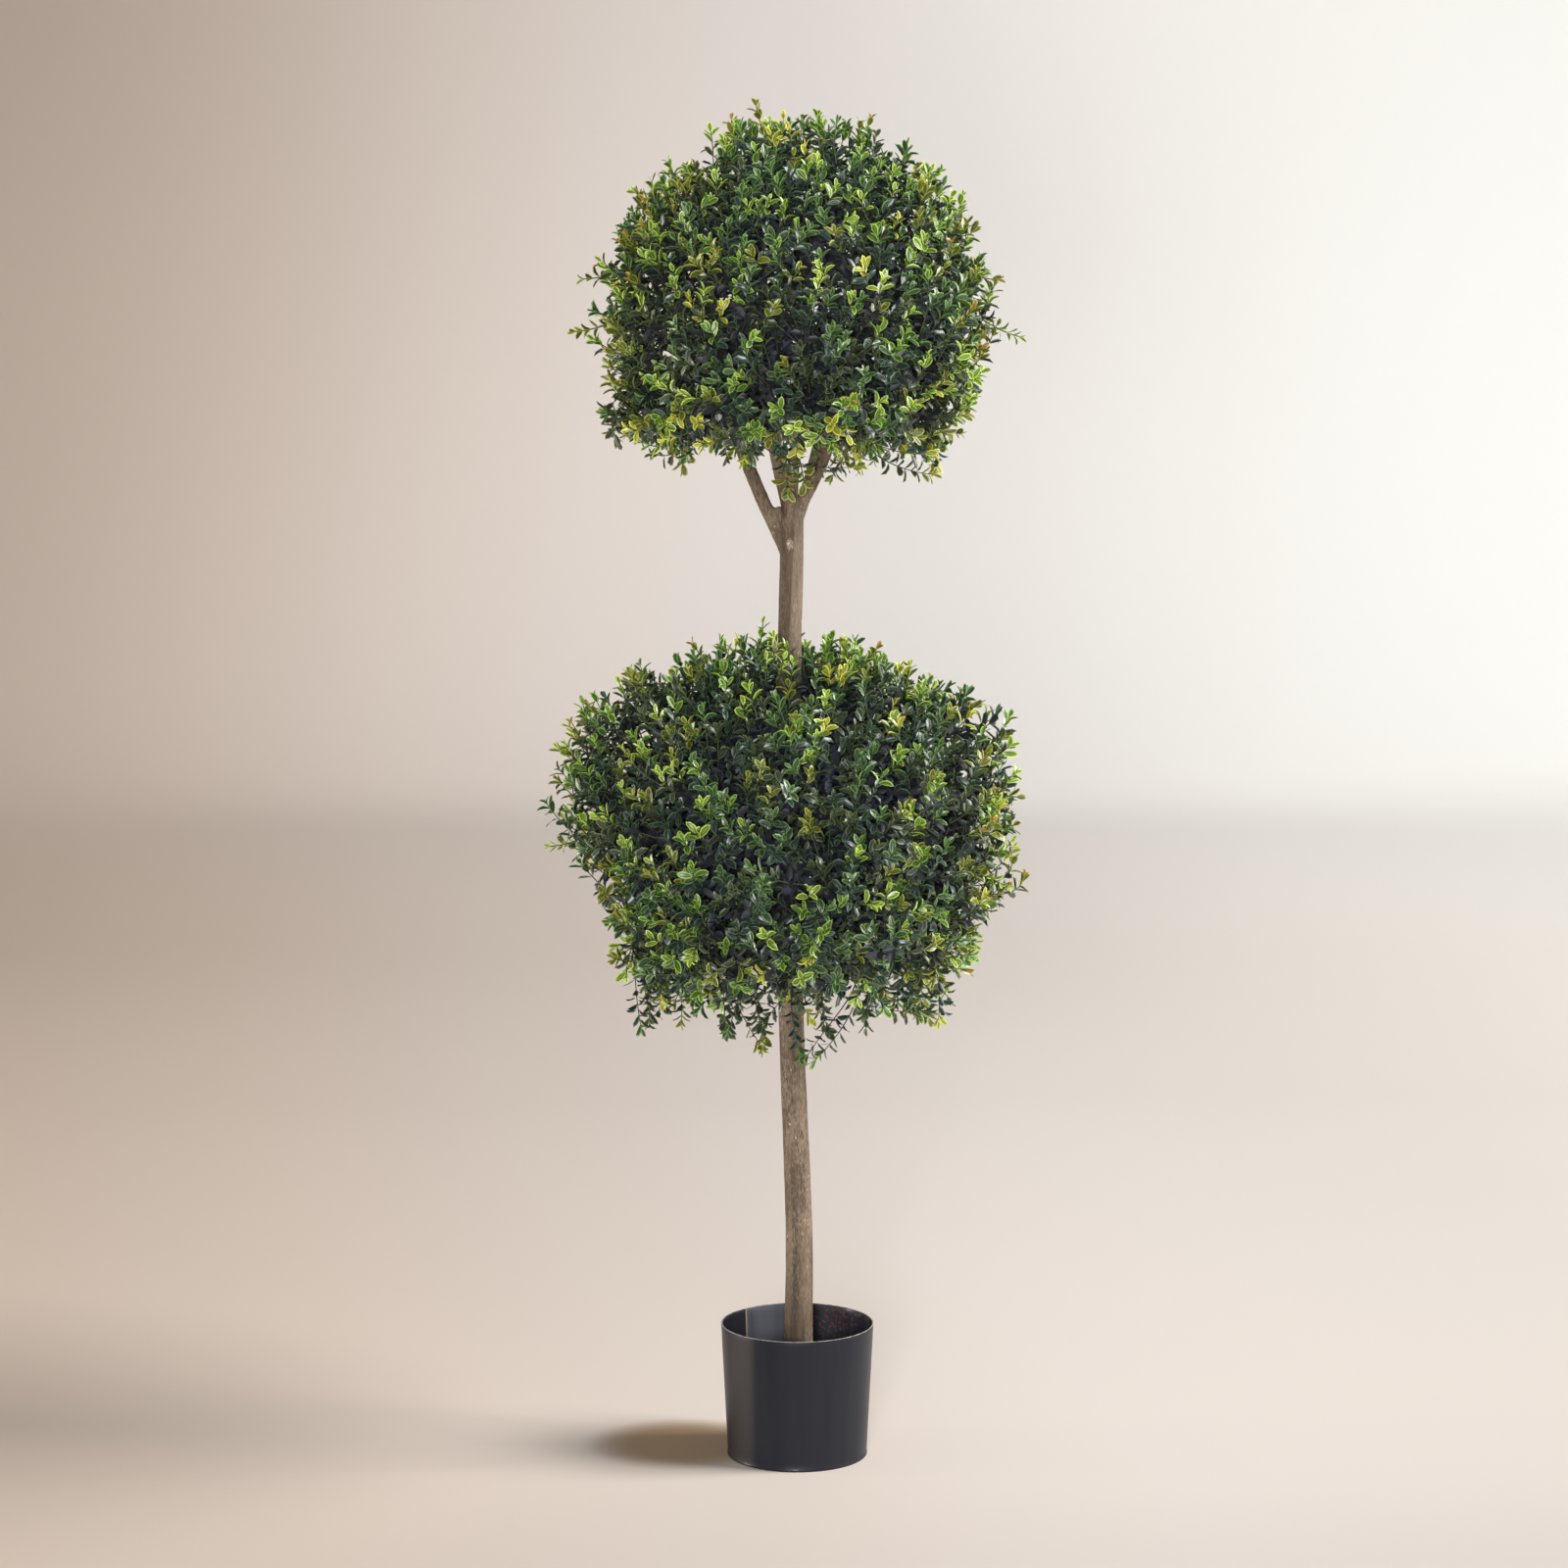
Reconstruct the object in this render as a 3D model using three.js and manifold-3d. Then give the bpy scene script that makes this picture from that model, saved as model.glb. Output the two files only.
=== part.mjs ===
// An artificial boxwood topiary: two clipped balls of foliage on one stem, set in a round pot.
// Millimetres, +Z up. The origin is the middle of the pot's flat underside, and -Y is the front.

import * as THREE from "three";
import { mergeVertices } from "three/addons/utils/BufferGeometryUtils.js";
import Module from "manifold-3d";

const wasm = await Module();
wasm.setup();

// Driving dimensions

const gap = 0.3; // between solids that touch
const mergeDistance = 0.001;

const pot = {
  height: 152,
  rimRadius: 86,
  footRadius: 78.4,
  wall: 1.6,
  floor: 3,
  beadHeight: 3,
  bead: 0.7,
  rimRound: 0.5,
  sides: 44,
  // Where the sheet overlaps itself inside the wall, in degrees round from +X.
  lap: { from: 86, to: 134, thickness: 1.1, belowRim: 1.5, aboveFilling: 1, steps: 10 },
};

const filling = { top: 95 };

const stem = {
  path: [
    [0.8, 0, 95],
    [2, -1, 245],
    [-2.4, 1, 377],
    [-6, 2, 470],
    [-9.5, 1, 700],
    [-8.9, 0, 920],
    [-6.4, 0, 1027],
    [-6, 0, 1064],
  ],
  footRadius: 15.1, // before the flare is added
  forkRadius: 12.9,
  flare: 3.1,
  flareFalls: 55, // height over which the flare falls to a third
  sides: 14,
  steps: 15,
};

// Each limb starts inside the stem and ends a little way inside the upper ball's core.
const limbs = {
  limb_left: {
    path: [[-8, 0, 1016], [-32.6, 0, 1070], [-52, 1, 1114], [-86, 4, 1204]],
    radius: [7.2, 6.1],
  },
  limb_right: {
    path: [[-6, 2, 1040], [-1, 1, 1066], [23, 1, 1116], [58, 6, 1204]],
    radius: [7.6, 6.3],
  },
  limb_front: {
    path: [[-7, -5, 1036], [-5.2, -8.5, 1083], [-3.6, -12, 1124], [2, -30, 1204]],
    radius: [6.4, 5.3],
  },
  limb_back: {
    path: [[-6, 4, 1036], [-12, 9, 1080], [-21, 14, 1117], [-38, 34, 1204]],
    radius: [7.4, 6.2],
  },
};
const limbShape = { sides: 9, steps: 5, freeFrom: 1090 }; // above this height the limbs stand apart

// A ball is half an ellipsoid above its middle. Below, its sides draw in and turn under squarely.
const balls = {
  foliage_lower: {
    middle: [-8, 0, 738],
    halfWidth: 252,
    up: 193,
    down: 228,
    drawIn: 0.24,
    squareness: 6,
    sprigs: 49,
    seed: 15,
    // Tips of the sprigs that stand out of the clipped surface.
    strays: [
      [-285, -20, 699],
      [-246, 60, 812],
      [254, -10, 753],
      [241, -50, 655],
      [213, 40, 868],
      [-38, -30, 961],
      [-121, 20, 938],
      [94, 10, 933],
      [-171, -40, 486],
      [-83, -110, 477],
      [8, -75, 447],
      [103, -90, 486],
      [154, -40, 467],
      [60, 120, 478],
      [-90, 130, 490],
    ],
  },
  foliage_upper: {
    middle: [-4, 0, 1300],
    halfWidth: 211,
    up: 206,
    down: 168,
    drawIn: 0.06,
    squareness: 6,
    sprigs: 42,
    seed: 45,
    strays: [
      [-253, -20, 1268],
      [-245, 10, 1324],
      [253, -10, 1260],
      [231, 30, 1322],
      [-47, -20, 1524],
      [-73, 10, 1510],
      [83, 0, 1508],
      [164, 20, 1448],
      [-186, 0, 1426],
      [124, -60, 1095],
      [-163, -40, 1130],
      [-2, -64, 1096],
      [40, 130, 1108],
    ],
  },
};
const core = { scale: 0.74, around: 22, rings: 13, lump: 0.035, lumpsAround: 5, lumpsUp: 6 };
const sprig = {
  sunk: 9, // depth of the twig's foot in the core
  twigRadius: [3, 2.4],
  twigSides: 4,
  opening: [62, 46], // degrees between a pair's leaves and the twig
  reach: [0.93, 1.01], // of the ball's own radius
  lean: 0.16, // how far a tip strays sideways, as a share of the half width
  turnsTried: 4,
};
// The pairs' places are shares of the twig's length.
const clippedSprig = { pairsAt: [0.55, 0.9], pairLeaves: [76, 66], endLeaf: 52 };
const straySprig = { pairsAt: [0.9], pairLeaves: [44], endLeaf: 38 };
const leaf = { widthShare: 0.6, widestAt: 0.5, thickness: 2.6, fold: 0.3, fromAxis: 0.3, intoTwigEnd: 1.5 };

// Tools for solids

// Numbers from 0 to 1 that are the same on every run.
function seeded(seed) {
  let state = seed >>> 0;
  return () => {
    state = (state + 0x6d2b79f5) >>> 0;
    let mixed = Math.imul(state ^ (state >>> 15), 1 | state);
    mixed = (mixed + Math.imul(mixed ^ (mixed >>> 7), 61 | mixed)) ^ mixed;
    return ((mixed ^ (mixed >>> 14)) >>> 0) / 4294967296;
  };
}

function toSolid(geometry) {
  const bare = geometry.clone();
  bare.deleteAttribute("normal");
  bare.deleteAttribute("uv");
  const merged = mergeVertices(bare, mergeDistance);
  return new wasm.Manifold(
    new wasm.Mesh({
      numProp: 3,
      vertProperties: merged.attributes.position.array,
      triVerts: new Uint32Array(merged.index.array),
    }),
  );
}

function toGeometry(solid) {
  const mesh = solid.getMesh();
  const indexed = new THREE.BufferGeometry();
  indexed.setAttribute("position", new THREE.BufferAttribute(mesh.vertProperties, 3));
  indexed.setIndex(new THREE.BufferAttribute(mesh.triVerts, 1));
  const flat = indexed.toNonIndexed();
  flat.computeVertexNormals();
  return flat;
}

// Joins solids two by two, so that no join works on a needlessly large one.
function join(solids) {
  let left = solids;
  while (left.length > 1) {
    const joined = [];
    for (let i = 0; i + 1 < left.length; i += 2) joined.push(left[i].add(left[i + 1]));
    if (left.length % 2) joined.push(left[left.length - 1]);
    left = joined;
  }
  return left[0];
}

// A cut can leave loose scraps beside the main body.
function largestBody(solid) {
  return solid.decompose().reduce((a, b) => (b.volume() > a.volume() ? b : a));
}

function touches(solid, others) {
  const box = solid.boundingBox();
  return others.some((other) => {
    const far = other.boundingBox();
    const apart = [0, 1, 2].some((k) => box.min[k] > far.max[k] || far.min[k] > box.max[k]);
    return !apart && solid.intersect(other).volume() > 0;
  });
}

function smoothPath(points) {
  const corners = points.map((point) => new THREE.Vector3(...point));
  return new THREE.CatmullRomCurve3(corners, false, "centripetal");
}

// A cylinder bent along a curve, between two shares of its length, with its own radius at each point.
function bentCylinder(curve, radiusAt, { sides, steps, from = 0, to = 1, grow = 0 }) {
  const geometry = new THREE.CylinderGeometry(1, 1, 1, sides, steps);
  const place = geometry.attributes.position;
  const sideways = new THREE.Vector3();
  const across = new THREE.Vector3();
  for (let i = 0; i < place.count; i++) {
    const share = from + (to - from) * (place.getY(i) + 0.5);
    const along = curve.getTangentAt(share);
    const centre = curve.getPointAt(share);
    sideways.set(1, 0, 0).addScaledVector(along, -along.x).normalize();
    across.crossVectors(sideways, along);
    const radius = radiusAt(share) + grow;
    centre.addScaledVector(sideways, place.getX(i) * radius);
    centre.addScaledVector(across, place.getZ(i) * radius);
    place.setXYZ(i, centre.x, centre.y, centre.z);
  }
  return geometry;
}

// Share of a rising curve's length at which it reaches a height, found by halving.
function shareAtHeight(curve, height) {
  const halvings = 40;
  let low = 0;
  let high = 1;
  for (let i = 0; i < halvings; i++) {
    const middle = (low + high) / 2;
    if (curve.getPointAt(middle).z < height) low = middle;
    else high = middle;
  }
  return low;
}

// Pot: a tapered cup with a foot bead, and a lap inside its wall

function outerRadius(z) {
  return THREE.MathUtils.mapLinear(z, 0, pot.height, pot.footRadius, pot.rimRadius);
}

function innerRadius(z) {
  return outerRadius(z) - pot.wall;
}

function makePot() {
  const { height, floor, bead, beadHeight, rimRound, sides } = pot;
  const profile = [
    [0, 0],
    [outerRadius(0), 0],
    [outerRadius(0) + bead, bead],
    [outerRadius(beadHeight) + bead, beadHeight - bead],
    [outerRadius(beadHeight), beadHeight],
    [outerRadius(height - rimRound), height - rimRound],
    [outerRadius(height) - rimRound, height],
    [innerRadius(height) + rimRound, height],
    [innerRadius(height - rimRound), height - rimRound],
    [innerRadius(floor), floor],
    [0, floor],
  ];
  const cup = new THREE.LatheGeometry(profile.map((p) => new THREE.Vector2(...p)), sides);
  cup.rotateX(Math.PI / 2);
  return toSolid(cup).add(toSolid(makeLap()));
}

// The lap is a strip of a ring, tapered like the wall and sunk half-way into it.
function makeLap() {
  const { lap } = pot;
  const bottom = filling.top + lap.aboveFilling;
  const top = pot.height - lap.belowRim;
  const [start, end] = [lap.from, lap.to].map((angle) => THREE.MathUtils.degToRad(angle));
  const strip = new THREE.Shape();
  strip.absarc(0, 0, outerRadius(top) - pot.wall / 2, start, end, false);
  strip.absarc(0, 0, innerRadius(top) - lap.thickness, end, start, true);
  const sheet = new THREE.ExtrudeGeometry(strip, {
    depth: top - bottom,
    bevelEnabled: false,
    curveSegments: lap.steps,
  });
  sheet.translate(0, 0, bottom);
  const place = sheet.attributes.position;
  for (let i = 0; i < place.count; i++) {
    const narrowing = innerRadius(place.getZ(i)) / innerRadius(top);
    place.setX(i, place.getX(i) * narrowing);
    place.setY(i, place.getY(i) * narrowing);
  }
  return sheet;
}

// Filling: the cast weight that holds the stem, low in the pot

function makeFilling() {
  const bottom = pot.floor + gap;
  const disc = new THREE.CylinderGeometry(
    innerRadius(filling.top) - gap,
    innerRadius(bottom) - gap,
    filling.top - bottom,
    pot.sides,
  );
  disc.rotateX(Math.PI / 2);
  disc.translate(0, 0, (filling.top + bottom) / 2);
  return toSolid(disc);
}

// Stem and limbs

const [stemFoot, ...stemRest] = stem.path;
const stemCurve = smoothPath([[stemFoot[0], stemFoot[1], filling.top + gap], ...stemRest]);

function stemRadius(share) {
  const height = stemCurve.getPointAt(share).z - filling.top;
  const flare = stem.flare * Math.exp(-height / stem.flareFalls);
  return THREE.MathUtils.lerp(stem.footRadius, stem.forkRadius, share) + flare;
}

const limbNames = Object.keys(limbs);
const limbCurves = Object.fromEntries(limbNames.map((name) => [name, smoothPath(limbs[name].path)]));

function limbSolid(name, from, to, grow = 0) {
  const [foot, tip] = limbs[name].radius;
  const radiusAt = (share) => THREE.MathUtils.lerp(foot, tip, share);
  return toSolid(bentCylinder(limbCurves[name], radiusAt, { ...limbShape, from, to, grow }));
}

// The fork belongs to the stem: the stem's solid ends in a stub of each limb.
function makeStem() {
  const column = toSolid(bentCylinder(stemCurve, stemRadius, stem));
  const stubs = limbNames.map((name) => {
    return limbSolid(name, 0, shareAtHeight(limbCurves[name], limbShape.freeFrom));
  });
  return join([column, ...stubs]);
}

function makeLimb(name) {
  const curve = limbCurves[name];
  const step = gap / curve.getLength();
  return limbSolid(name, shareAtHeight(curve, limbShape.freeFrom) + step, 1 - step);
}

// Foliage balls

// Latitude runs from -90 degrees under the ball to +90 on top, and scale is a share of the ball's reach.
function onBall(ball, latitude, azimuth, scale = 1) {
  const rise = Math.sin(latitude);
  const depth = Math.max(0, -rise);
  const under = (1 - ball.drawIn * depth) * (1 - depth ** ball.squareness) ** (1 / ball.squareness);
  const radius = ball.halfWidth * (rise >= 0 ? Math.cos(latitude) : under) * scale;
  const z = (rise >= 0 ? ball.up : ball.down) * rise * scale;
  return new THREE.Vector3(radius * Math.cos(azimuth), radius * Math.sin(azimuth), z).add(
    new THREE.Vector3(...ball.middle),
  );
}

// Share of the ball's reach at which the lumpy core ends.
function coreScale(latitude, azimuth) {
  const lumps = Math.sin(core.lumpsAround * azimuth + 2 * latitude) * Math.sin(core.lumpsUp * latitude);
  return core.scale * (1 + core.lump * lumps * Math.cos(latitude));
}

function makeCore(ball) {
  const round = new THREE.SphereGeometry(1, core.around, core.rings);
  round.rotateX(Math.PI / 2);
  const place = round.attributes.position;
  for (let i = 0; i < place.count; i++) {
    const latitude = Math.asin(THREE.MathUtils.clamp(place.getZ(i), -1, 1));
    const azimuth = Math.atan2(place.getY(i), place.getX(i));
    const point = onBall(ball, latitude, azimuth, coreScale(latitude, azimuth));
    place.setXYZ(i, point.x, point.y, point.z);
  }
  return toSolid(round);
}

// Latitudes that share the ball's surface evenly among `count` rings, from the top down.
function evenLatitudes(ball, count) {
  const steps = 400; // of the sum along the ball's profile
  const areas = [0];
  let last = onBall(ball, Math.PI / 2, 0);
  for (let i = 1; i <= steps; i++) {
    const next = onBall(ball, Math.PI * (0.5 - i / steps), 0);
    const width = next.x + last.x - 2 * ball.middle[0];
    areas.push(areas[i - 1] + width * next.distanceTo(last));
    last = next;
  }
  return Array.from({ length: count }, (_, i) => {
    const wanted = ((i + 0.5) / count) * areas[steps];
    const at = areas.findIndex((area) => area >= wanted);
    return Math.PI * (0.5 - at / steps);
  });
}

// A leaf of eight faces along +X, folded a little along its middle, with its upper face towards +Y.
// It starts a little ahead of the origin.
function leafGeometry(length, ahead) {
  const shape = new THREE.OctahedronGeometry(1, 0);
  const place = shape.attributes.position;
  const halfWidth = (leaf.widthShare * length) / 2;
  for (let i = 0; i < place.count; i++) {
    const [x, y, z] = [place.getX(i), place.getY(i), place.getZ(i)];
    const share = leaf.widestAt + x * (x > 0 ? 1 - leaf.widestAt : leaf.widestAt);
    const lift = Math.abs(z) * leaf.fold * halfWidth + (y * leaf.thickness) / 2;
    place.setXYZ(i, THREE.MathUtils.lerp(ahead, length, share), lift, z * halfWidth);
  }
  return shape;
}

// A straight twig along +Y from the origin, with opposite pairs of leaves, each pair a quarter turn on from
// the last, and a leaf at its end that reaches the full length.
function sprigGeometries(length, { pairsAt, pairLeaves, endLeaf }) {
  const twigLength = length - endLeaf;
  const [thick, thin] = sprig.twigRadius;
  const twig = new THREE.CylinderGeometry(thin, thick, twigLength, sprig.twigSides, 1, false, Math.PI / 4);
  twig.translate(0, twigLength / 2, 0);
  const leaves = pairsAt.flatMap((share, pair) => {
    const rise = Math.PI / 2 - THREE.MathUtils.degToRad(sprig.opening[pair]);
    return [0, Math.PI].map((half) => {
      const one = leafGeometry(pairLeaves[pair], leaf.fromAxis).rotateZ(rise);
      return one.rotateY((pair * Math.PI) / 2 + half).translate(0, share * twigLength, 0);
    });
  });
  const last = leafGeometry(endLeaf, -leaf.intoTwigEnd).rotateZ(Math.PI / 2).translate(0, twigLength, 0);
  return [twig, ...leaves, last];
}

// A twig or leaf that would touch what stands there already is left out. Of several turns about the twig,
// the sprig takes the one that keeps the most leaves.
function makeSprig({ foot, tip, turn, habit }, obstacles) {
  const along = tip.clone().sub(foot);
  const up = new THREE.Vector3(0, 1, 0);
  const facing = new THREE.Quaternion().setFromUnitVectors(up, along.clone().normalize());
  const attempts = Array.from({ length: sprig.turnsTried }, (_, k) => {
    const about = new THREE.Quaternion().setFromAxisAngle(up, turn + (k * Math.PI) / sprig.turnsTried);
    const pose = facing.clone().multiply(about);
    const [twig, ...leaves] = sprigGeometries(along.length(), habit).map((geometry) =>
      toSolid(geometry.applyQuaternion(pose).translate(...foot)),
    );
    if (touches(twig, obstacles)) return [];
    return [twig, ...leaves.filter((solid) => !touches(solid, obstacles))];
  });
  return attempts.reduce((best, attempt) => (attempt.length > best.length ? attempt : best));
}

// Sprigs spread evenly over the ball, each leaning a little its own way.
function evenSprigs(ball) {
  const random = seeded(ball.seed);
  const goldenAngle = Math.PI * (3 - Math.sqrt(5));
  const middle = new THREE.Vector3(...ball.middle);
  return evenLatitudes(ball, ball.sprigs).map((latitude, i) => {
    const azimuth = i * goldenAngle;
    const reach = THREE.MathUtils.lerp(...sprig.reach, random());
    const straight = onBall(ball, latitude, azimuth, reach).sub(middle);
    const lean = [0, 1, 2].map(() => (random() * 2 - 1) * sprig.lean * ball.halfWidth);
    const tip = straight.clone().add(new THREE.Vector3(...lean));
    tip.setLength(straight.length()).add(middle);
    const foot = onBall(ball, latitude, azimuth, coreScale(latitude, azimuth));
    return { foot, tip, turn: random() * Math.PI, habit: clippedSprig };
  });
}

// Slim sprigs whose tips stand out of the clipped surface at named places.
function straySprigs(ball) {
  const random = seeded(ball.seed + 1);
  return ball.strays.map((place) => {
    const tip = new THREE.Vector3(...place);
    const away = tip.clone().sub(new THREE.Vector3(...ball.middle));
    const latitude = Math.atan2(away.z, Math.hypot(away.x, away.y));
    const azimuth = Math.atan2(away.y, away.x);
    const foot = onBall(ball, latitude, azimuth, coreScale(latitude, azimuth));
    return { foot, tip, turn: random() * Math.PI, habit: straySprig };
  });
}

// The core with its sprigs, bored clear of the wood that runs into it.
function makeBall(ball, wood) {
  const grown = [];
  for (const shoot of [...straySprigs(ball), ...evenSprigs(ball)]) {
    const inward = new THREE.Vector3(...ball.middle).sub(shoot.foot).setLength(sprig.sunk);
    shoot.foot.add(inward);
    grown.push(...makeSprig(shoot, [...wood, ...grown]));
  }
  const whole = join([makeCore(ball), ...grown]);
  return largestBody(wood.reduce((solid, piece) => solid.subtract(piece), whole));
}

// Assembly

const bark = new THREE.MeshStandardMaterial({ color: 0x84705c, roughness: 0.85, metalness: 0 });
const foliage = new THREE.MeshStandardMaterial({ color: 0x4c6b33, roughness: 0.55, metalness: 0 });
const potSkin = new THREE.MeshStandardMaterial({ color: 0x3b3c40, roughness: 0.5, metalness: 0 });
const cast = new THREE.MeshStandardMaterial({ color: 0x4b4640, roughness: 0.95, metalness: 0 });

const topiary = new THREE.Group();

function addPiece(name, solid, material) {
  const mesh = new THREE.Mesh(toGeometry(solid), material);
  mesh.name = name;
  topiary.add(mesh);
}

addPiece("pot", makePot(), potSkin);
addPiece("filling", makeFilling(), cast);
addPiece("trunk", makeStem(), bark);
for (const name of limbNames) addPiece(name, makeLimb(name), bark);

const stemClear = toSolid(bentCylinder(stemCurve, stemRadius, { ...stem, grow: gap }));
const limbsClear = limbNames.map((name) => limbSolid(name, 0, 1, gap));
addPiece("foliage_lower", makeBall(balls.foliage_lower, [stemClear]), foliage);
addPiece("foliage_upper", makeBall(balls.foliage_upper, limbsClear), foliage);

export default topiary;
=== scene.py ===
# Looks of an artificial boxwood topiary: two clipped balls of leaves on one stem, in a dark round pot.
# Metres, +Z up, -Y is the front. Run by Blender 4.5.

import math

import bpy
import numpy as np
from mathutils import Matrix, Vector


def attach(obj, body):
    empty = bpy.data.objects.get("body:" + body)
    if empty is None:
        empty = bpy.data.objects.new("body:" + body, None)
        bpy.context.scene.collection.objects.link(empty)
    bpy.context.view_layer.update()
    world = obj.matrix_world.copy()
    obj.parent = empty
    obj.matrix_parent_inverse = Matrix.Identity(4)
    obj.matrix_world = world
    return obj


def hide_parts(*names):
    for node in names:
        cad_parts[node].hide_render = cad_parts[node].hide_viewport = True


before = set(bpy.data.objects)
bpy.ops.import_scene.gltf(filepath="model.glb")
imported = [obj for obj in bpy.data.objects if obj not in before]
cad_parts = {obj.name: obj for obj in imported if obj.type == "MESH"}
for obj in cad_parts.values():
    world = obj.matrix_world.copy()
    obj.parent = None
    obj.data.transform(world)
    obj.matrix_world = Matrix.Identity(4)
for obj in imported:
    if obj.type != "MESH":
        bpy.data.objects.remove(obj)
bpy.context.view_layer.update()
print("frame loaded:", len(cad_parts), "solids")


# Camera, floor and lights

studio = {
    "camera": (-0.015, -5.4, 1.6),
    "lookDown": 8.773,  # degrees below the horizon
    "lens": 113.03,
    "sensor": 36.0,
    "exposure": 0.0,
    "sky": (0.94, 0.95, 1.0),
    "skyStrength": 0.19,
    "floorDark": (229, 212, 196),  # painted shade: darker at the left of the picture, as if lit from the right
    "floorMiddle": (236, 231, 227),
    "floorPale": (251, 252, 248),  # painted light: paler at the right
    "floorSpread": 2.0,  # distance from the middle over which the floor turns from dark to pale
    "nearEven": (0.25, 0.95),  # close by, these shares of the change left and right are left out
    "dimNear": 0.07,  # painted shade where less light falls: how much darker the floor is close by, but for the left
    "dimEdge": 0.1,  # at the front edge
    "dimRight": 0.2,  # close by at the right
    "dimFar": 0.15,  # far behind
    "dimFarLeft": 0.09,
    "dimHigh": 0.31,  # high up at the left
    "dimTop": 0.17,  # and higher still
    "dimTopRight": 0.6,  # how much less of that at the right
    "warmth": (214, 176, 132),  # of the near floor, most of all at the left
    "warmShare": 0.22,
    "warmRight": 0.3,  # how much less of it at the right
    "paintedShadowTint": (160, 116, 40),  # painted shadow of the pot, a warm dark spot on the floor at its left
    "paintedShadowShare": 0.72,
    "paintedShadowMiddle": (-0.13, 0.035),
    "paintedShadowTight": (8.5, 9),  # one over its half widths
    "floorRadius": 4.5,
    "wallBend": 3.0,
    "floorAround": 96,
}
lights = {
    "key": {"place": (5.2, -0.6, 3.8), "aim": (0, 0, 0.3), "size": (3.0, 3.0), "power": 540,
            "colour": (1.0, 0.975, 0.945)},
    "front": {"place": (-0.4, -5.75, 1.5), "aim": (0, 0, 0.9), "size": (0.7, 0.7), "power": 205,
              "colour": (0.94, 0.955, 1.0)},
    "wall": {"place": (1.0, 2.4, 3.4), "aim": (0.8, 7.0, 2.7), "size": (2.4, 1.0), "power": 70,
             "colour": (1.0, 0.99, 0.98)},
    "left": {"place": (-2.4, -0.1, 0.25), "aim": (0, 0, 0.6), "size": (0.5, 0.4), "power": 2.6,
             "colour": (1.0, 0.95, 0.9), "spread": 50},
    "upperLeft": {"place": (-2.6, -1.3, 1.6), "aim": (-0.12, 0, 1.62), "size": (0.5, 0.4), "power": 2.0,
                  "colour": (1.0, 0.88, 0.66), "spread": 30},
}


def paint(red, green, blue):  # screen colour from 0 to 255 to Blender's linear colour
    shares = np.array([red, green, blue]) / 255
    linear = np.where(shares > 0.04045, ((shares + 0.055) / 1.055) ** 2.4, shares / 12.92)
    return (*linear.tolist(), 1.0)


def aim(thing, place, target):
    thing.location = place
    thing.rotation_euler = (Vector(target) - Vector(place)).to_track_quat("-Z", "Y").to_euler()


def makeCamera():
    data = bpy.data.cameras.new("photoCamera")
    data.lens = studio["lens"]
    data.sensor_width = studio["sensor"]
    data.clip_end = 100
    camera = bpy.data.objects.new("photoCamera", data)
    camera.location = studio["camera"]
    camera.rotation_euler = (math.radians(90 - studio["lookDown"]), 0, 0)
    bpy.context.collection.objects.link(camera)
    bpy.context.scene.camera = camera


def makeLights():
    for name, light in lights.items():
        data = bpy.data.lights.new(name, "AREA")
        data.shape = "RECTANGLE"
        data.size, data.size_y = light["size"]
        data.energy = light["power"]
        data.color = light["colour"]
        data.spread = math.radians(light.get("spread", 180))
        lamp = bpy.data.objects.new(name, data)
        aim(lamp, light["place"], light["aim"])
        lamp.visible_camera = False
        bpy.context.collection.objects.link(lamp)
    world = bpy.data.worlds.new("studioSky")
    world.use_nodes = True
    sky = world.node_tree.nodes["Background"]
    sky.inputs["Color"].default_value = (*studio["sky"], 1)
    sky.inputs["Strength"].default_value = studio["skyStrength"]
    bpy.context.scene.world = world
    bpy.context.scene.view_settings.view_transform = "Standard"
    bpy.context.scene.view_settings.exposure = studio["exposure"]


# Materials

class Flow:  # a socket's output, so that shader maths is written as plain expressions
    def __init__(self, finish, socket):
        self.finish = finish
        self.socket = socket

    def maths(self, operation, first, second):
        made = self.finish.node("ShaderNodeMath", {"operation": operation}, {0: first, 1: second})
        return Flow(self.finish, made.outputs[0])

    def __add__(self, other):
        return self.maths("ADD", self, other)

    def __sub__(self, other):
        return self.maths("SUBTRACT", self, other)

    def __rsub__(self, other):
        return self.maths("SUBTRACT", other, self)

    def __mul__(self, other):
        return self.maths("MULTIPLY", self, other)

    def __pow__(self, other):
        return self.maths("POWER", self, other)

    def over(self, low, high):  # 0 at low and below, 1 at high and above, and a smooth rise between
        made = self.finish.node(
            "ShaderNodeMapRange",
            {"interpolation_type": "SMOOTHSTEP"},
            {"Value": self, "From Min": low, "From Max": high},
        )
        return Flow(self.finish, made.outputs[0])

    __radd__ = __add__


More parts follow.
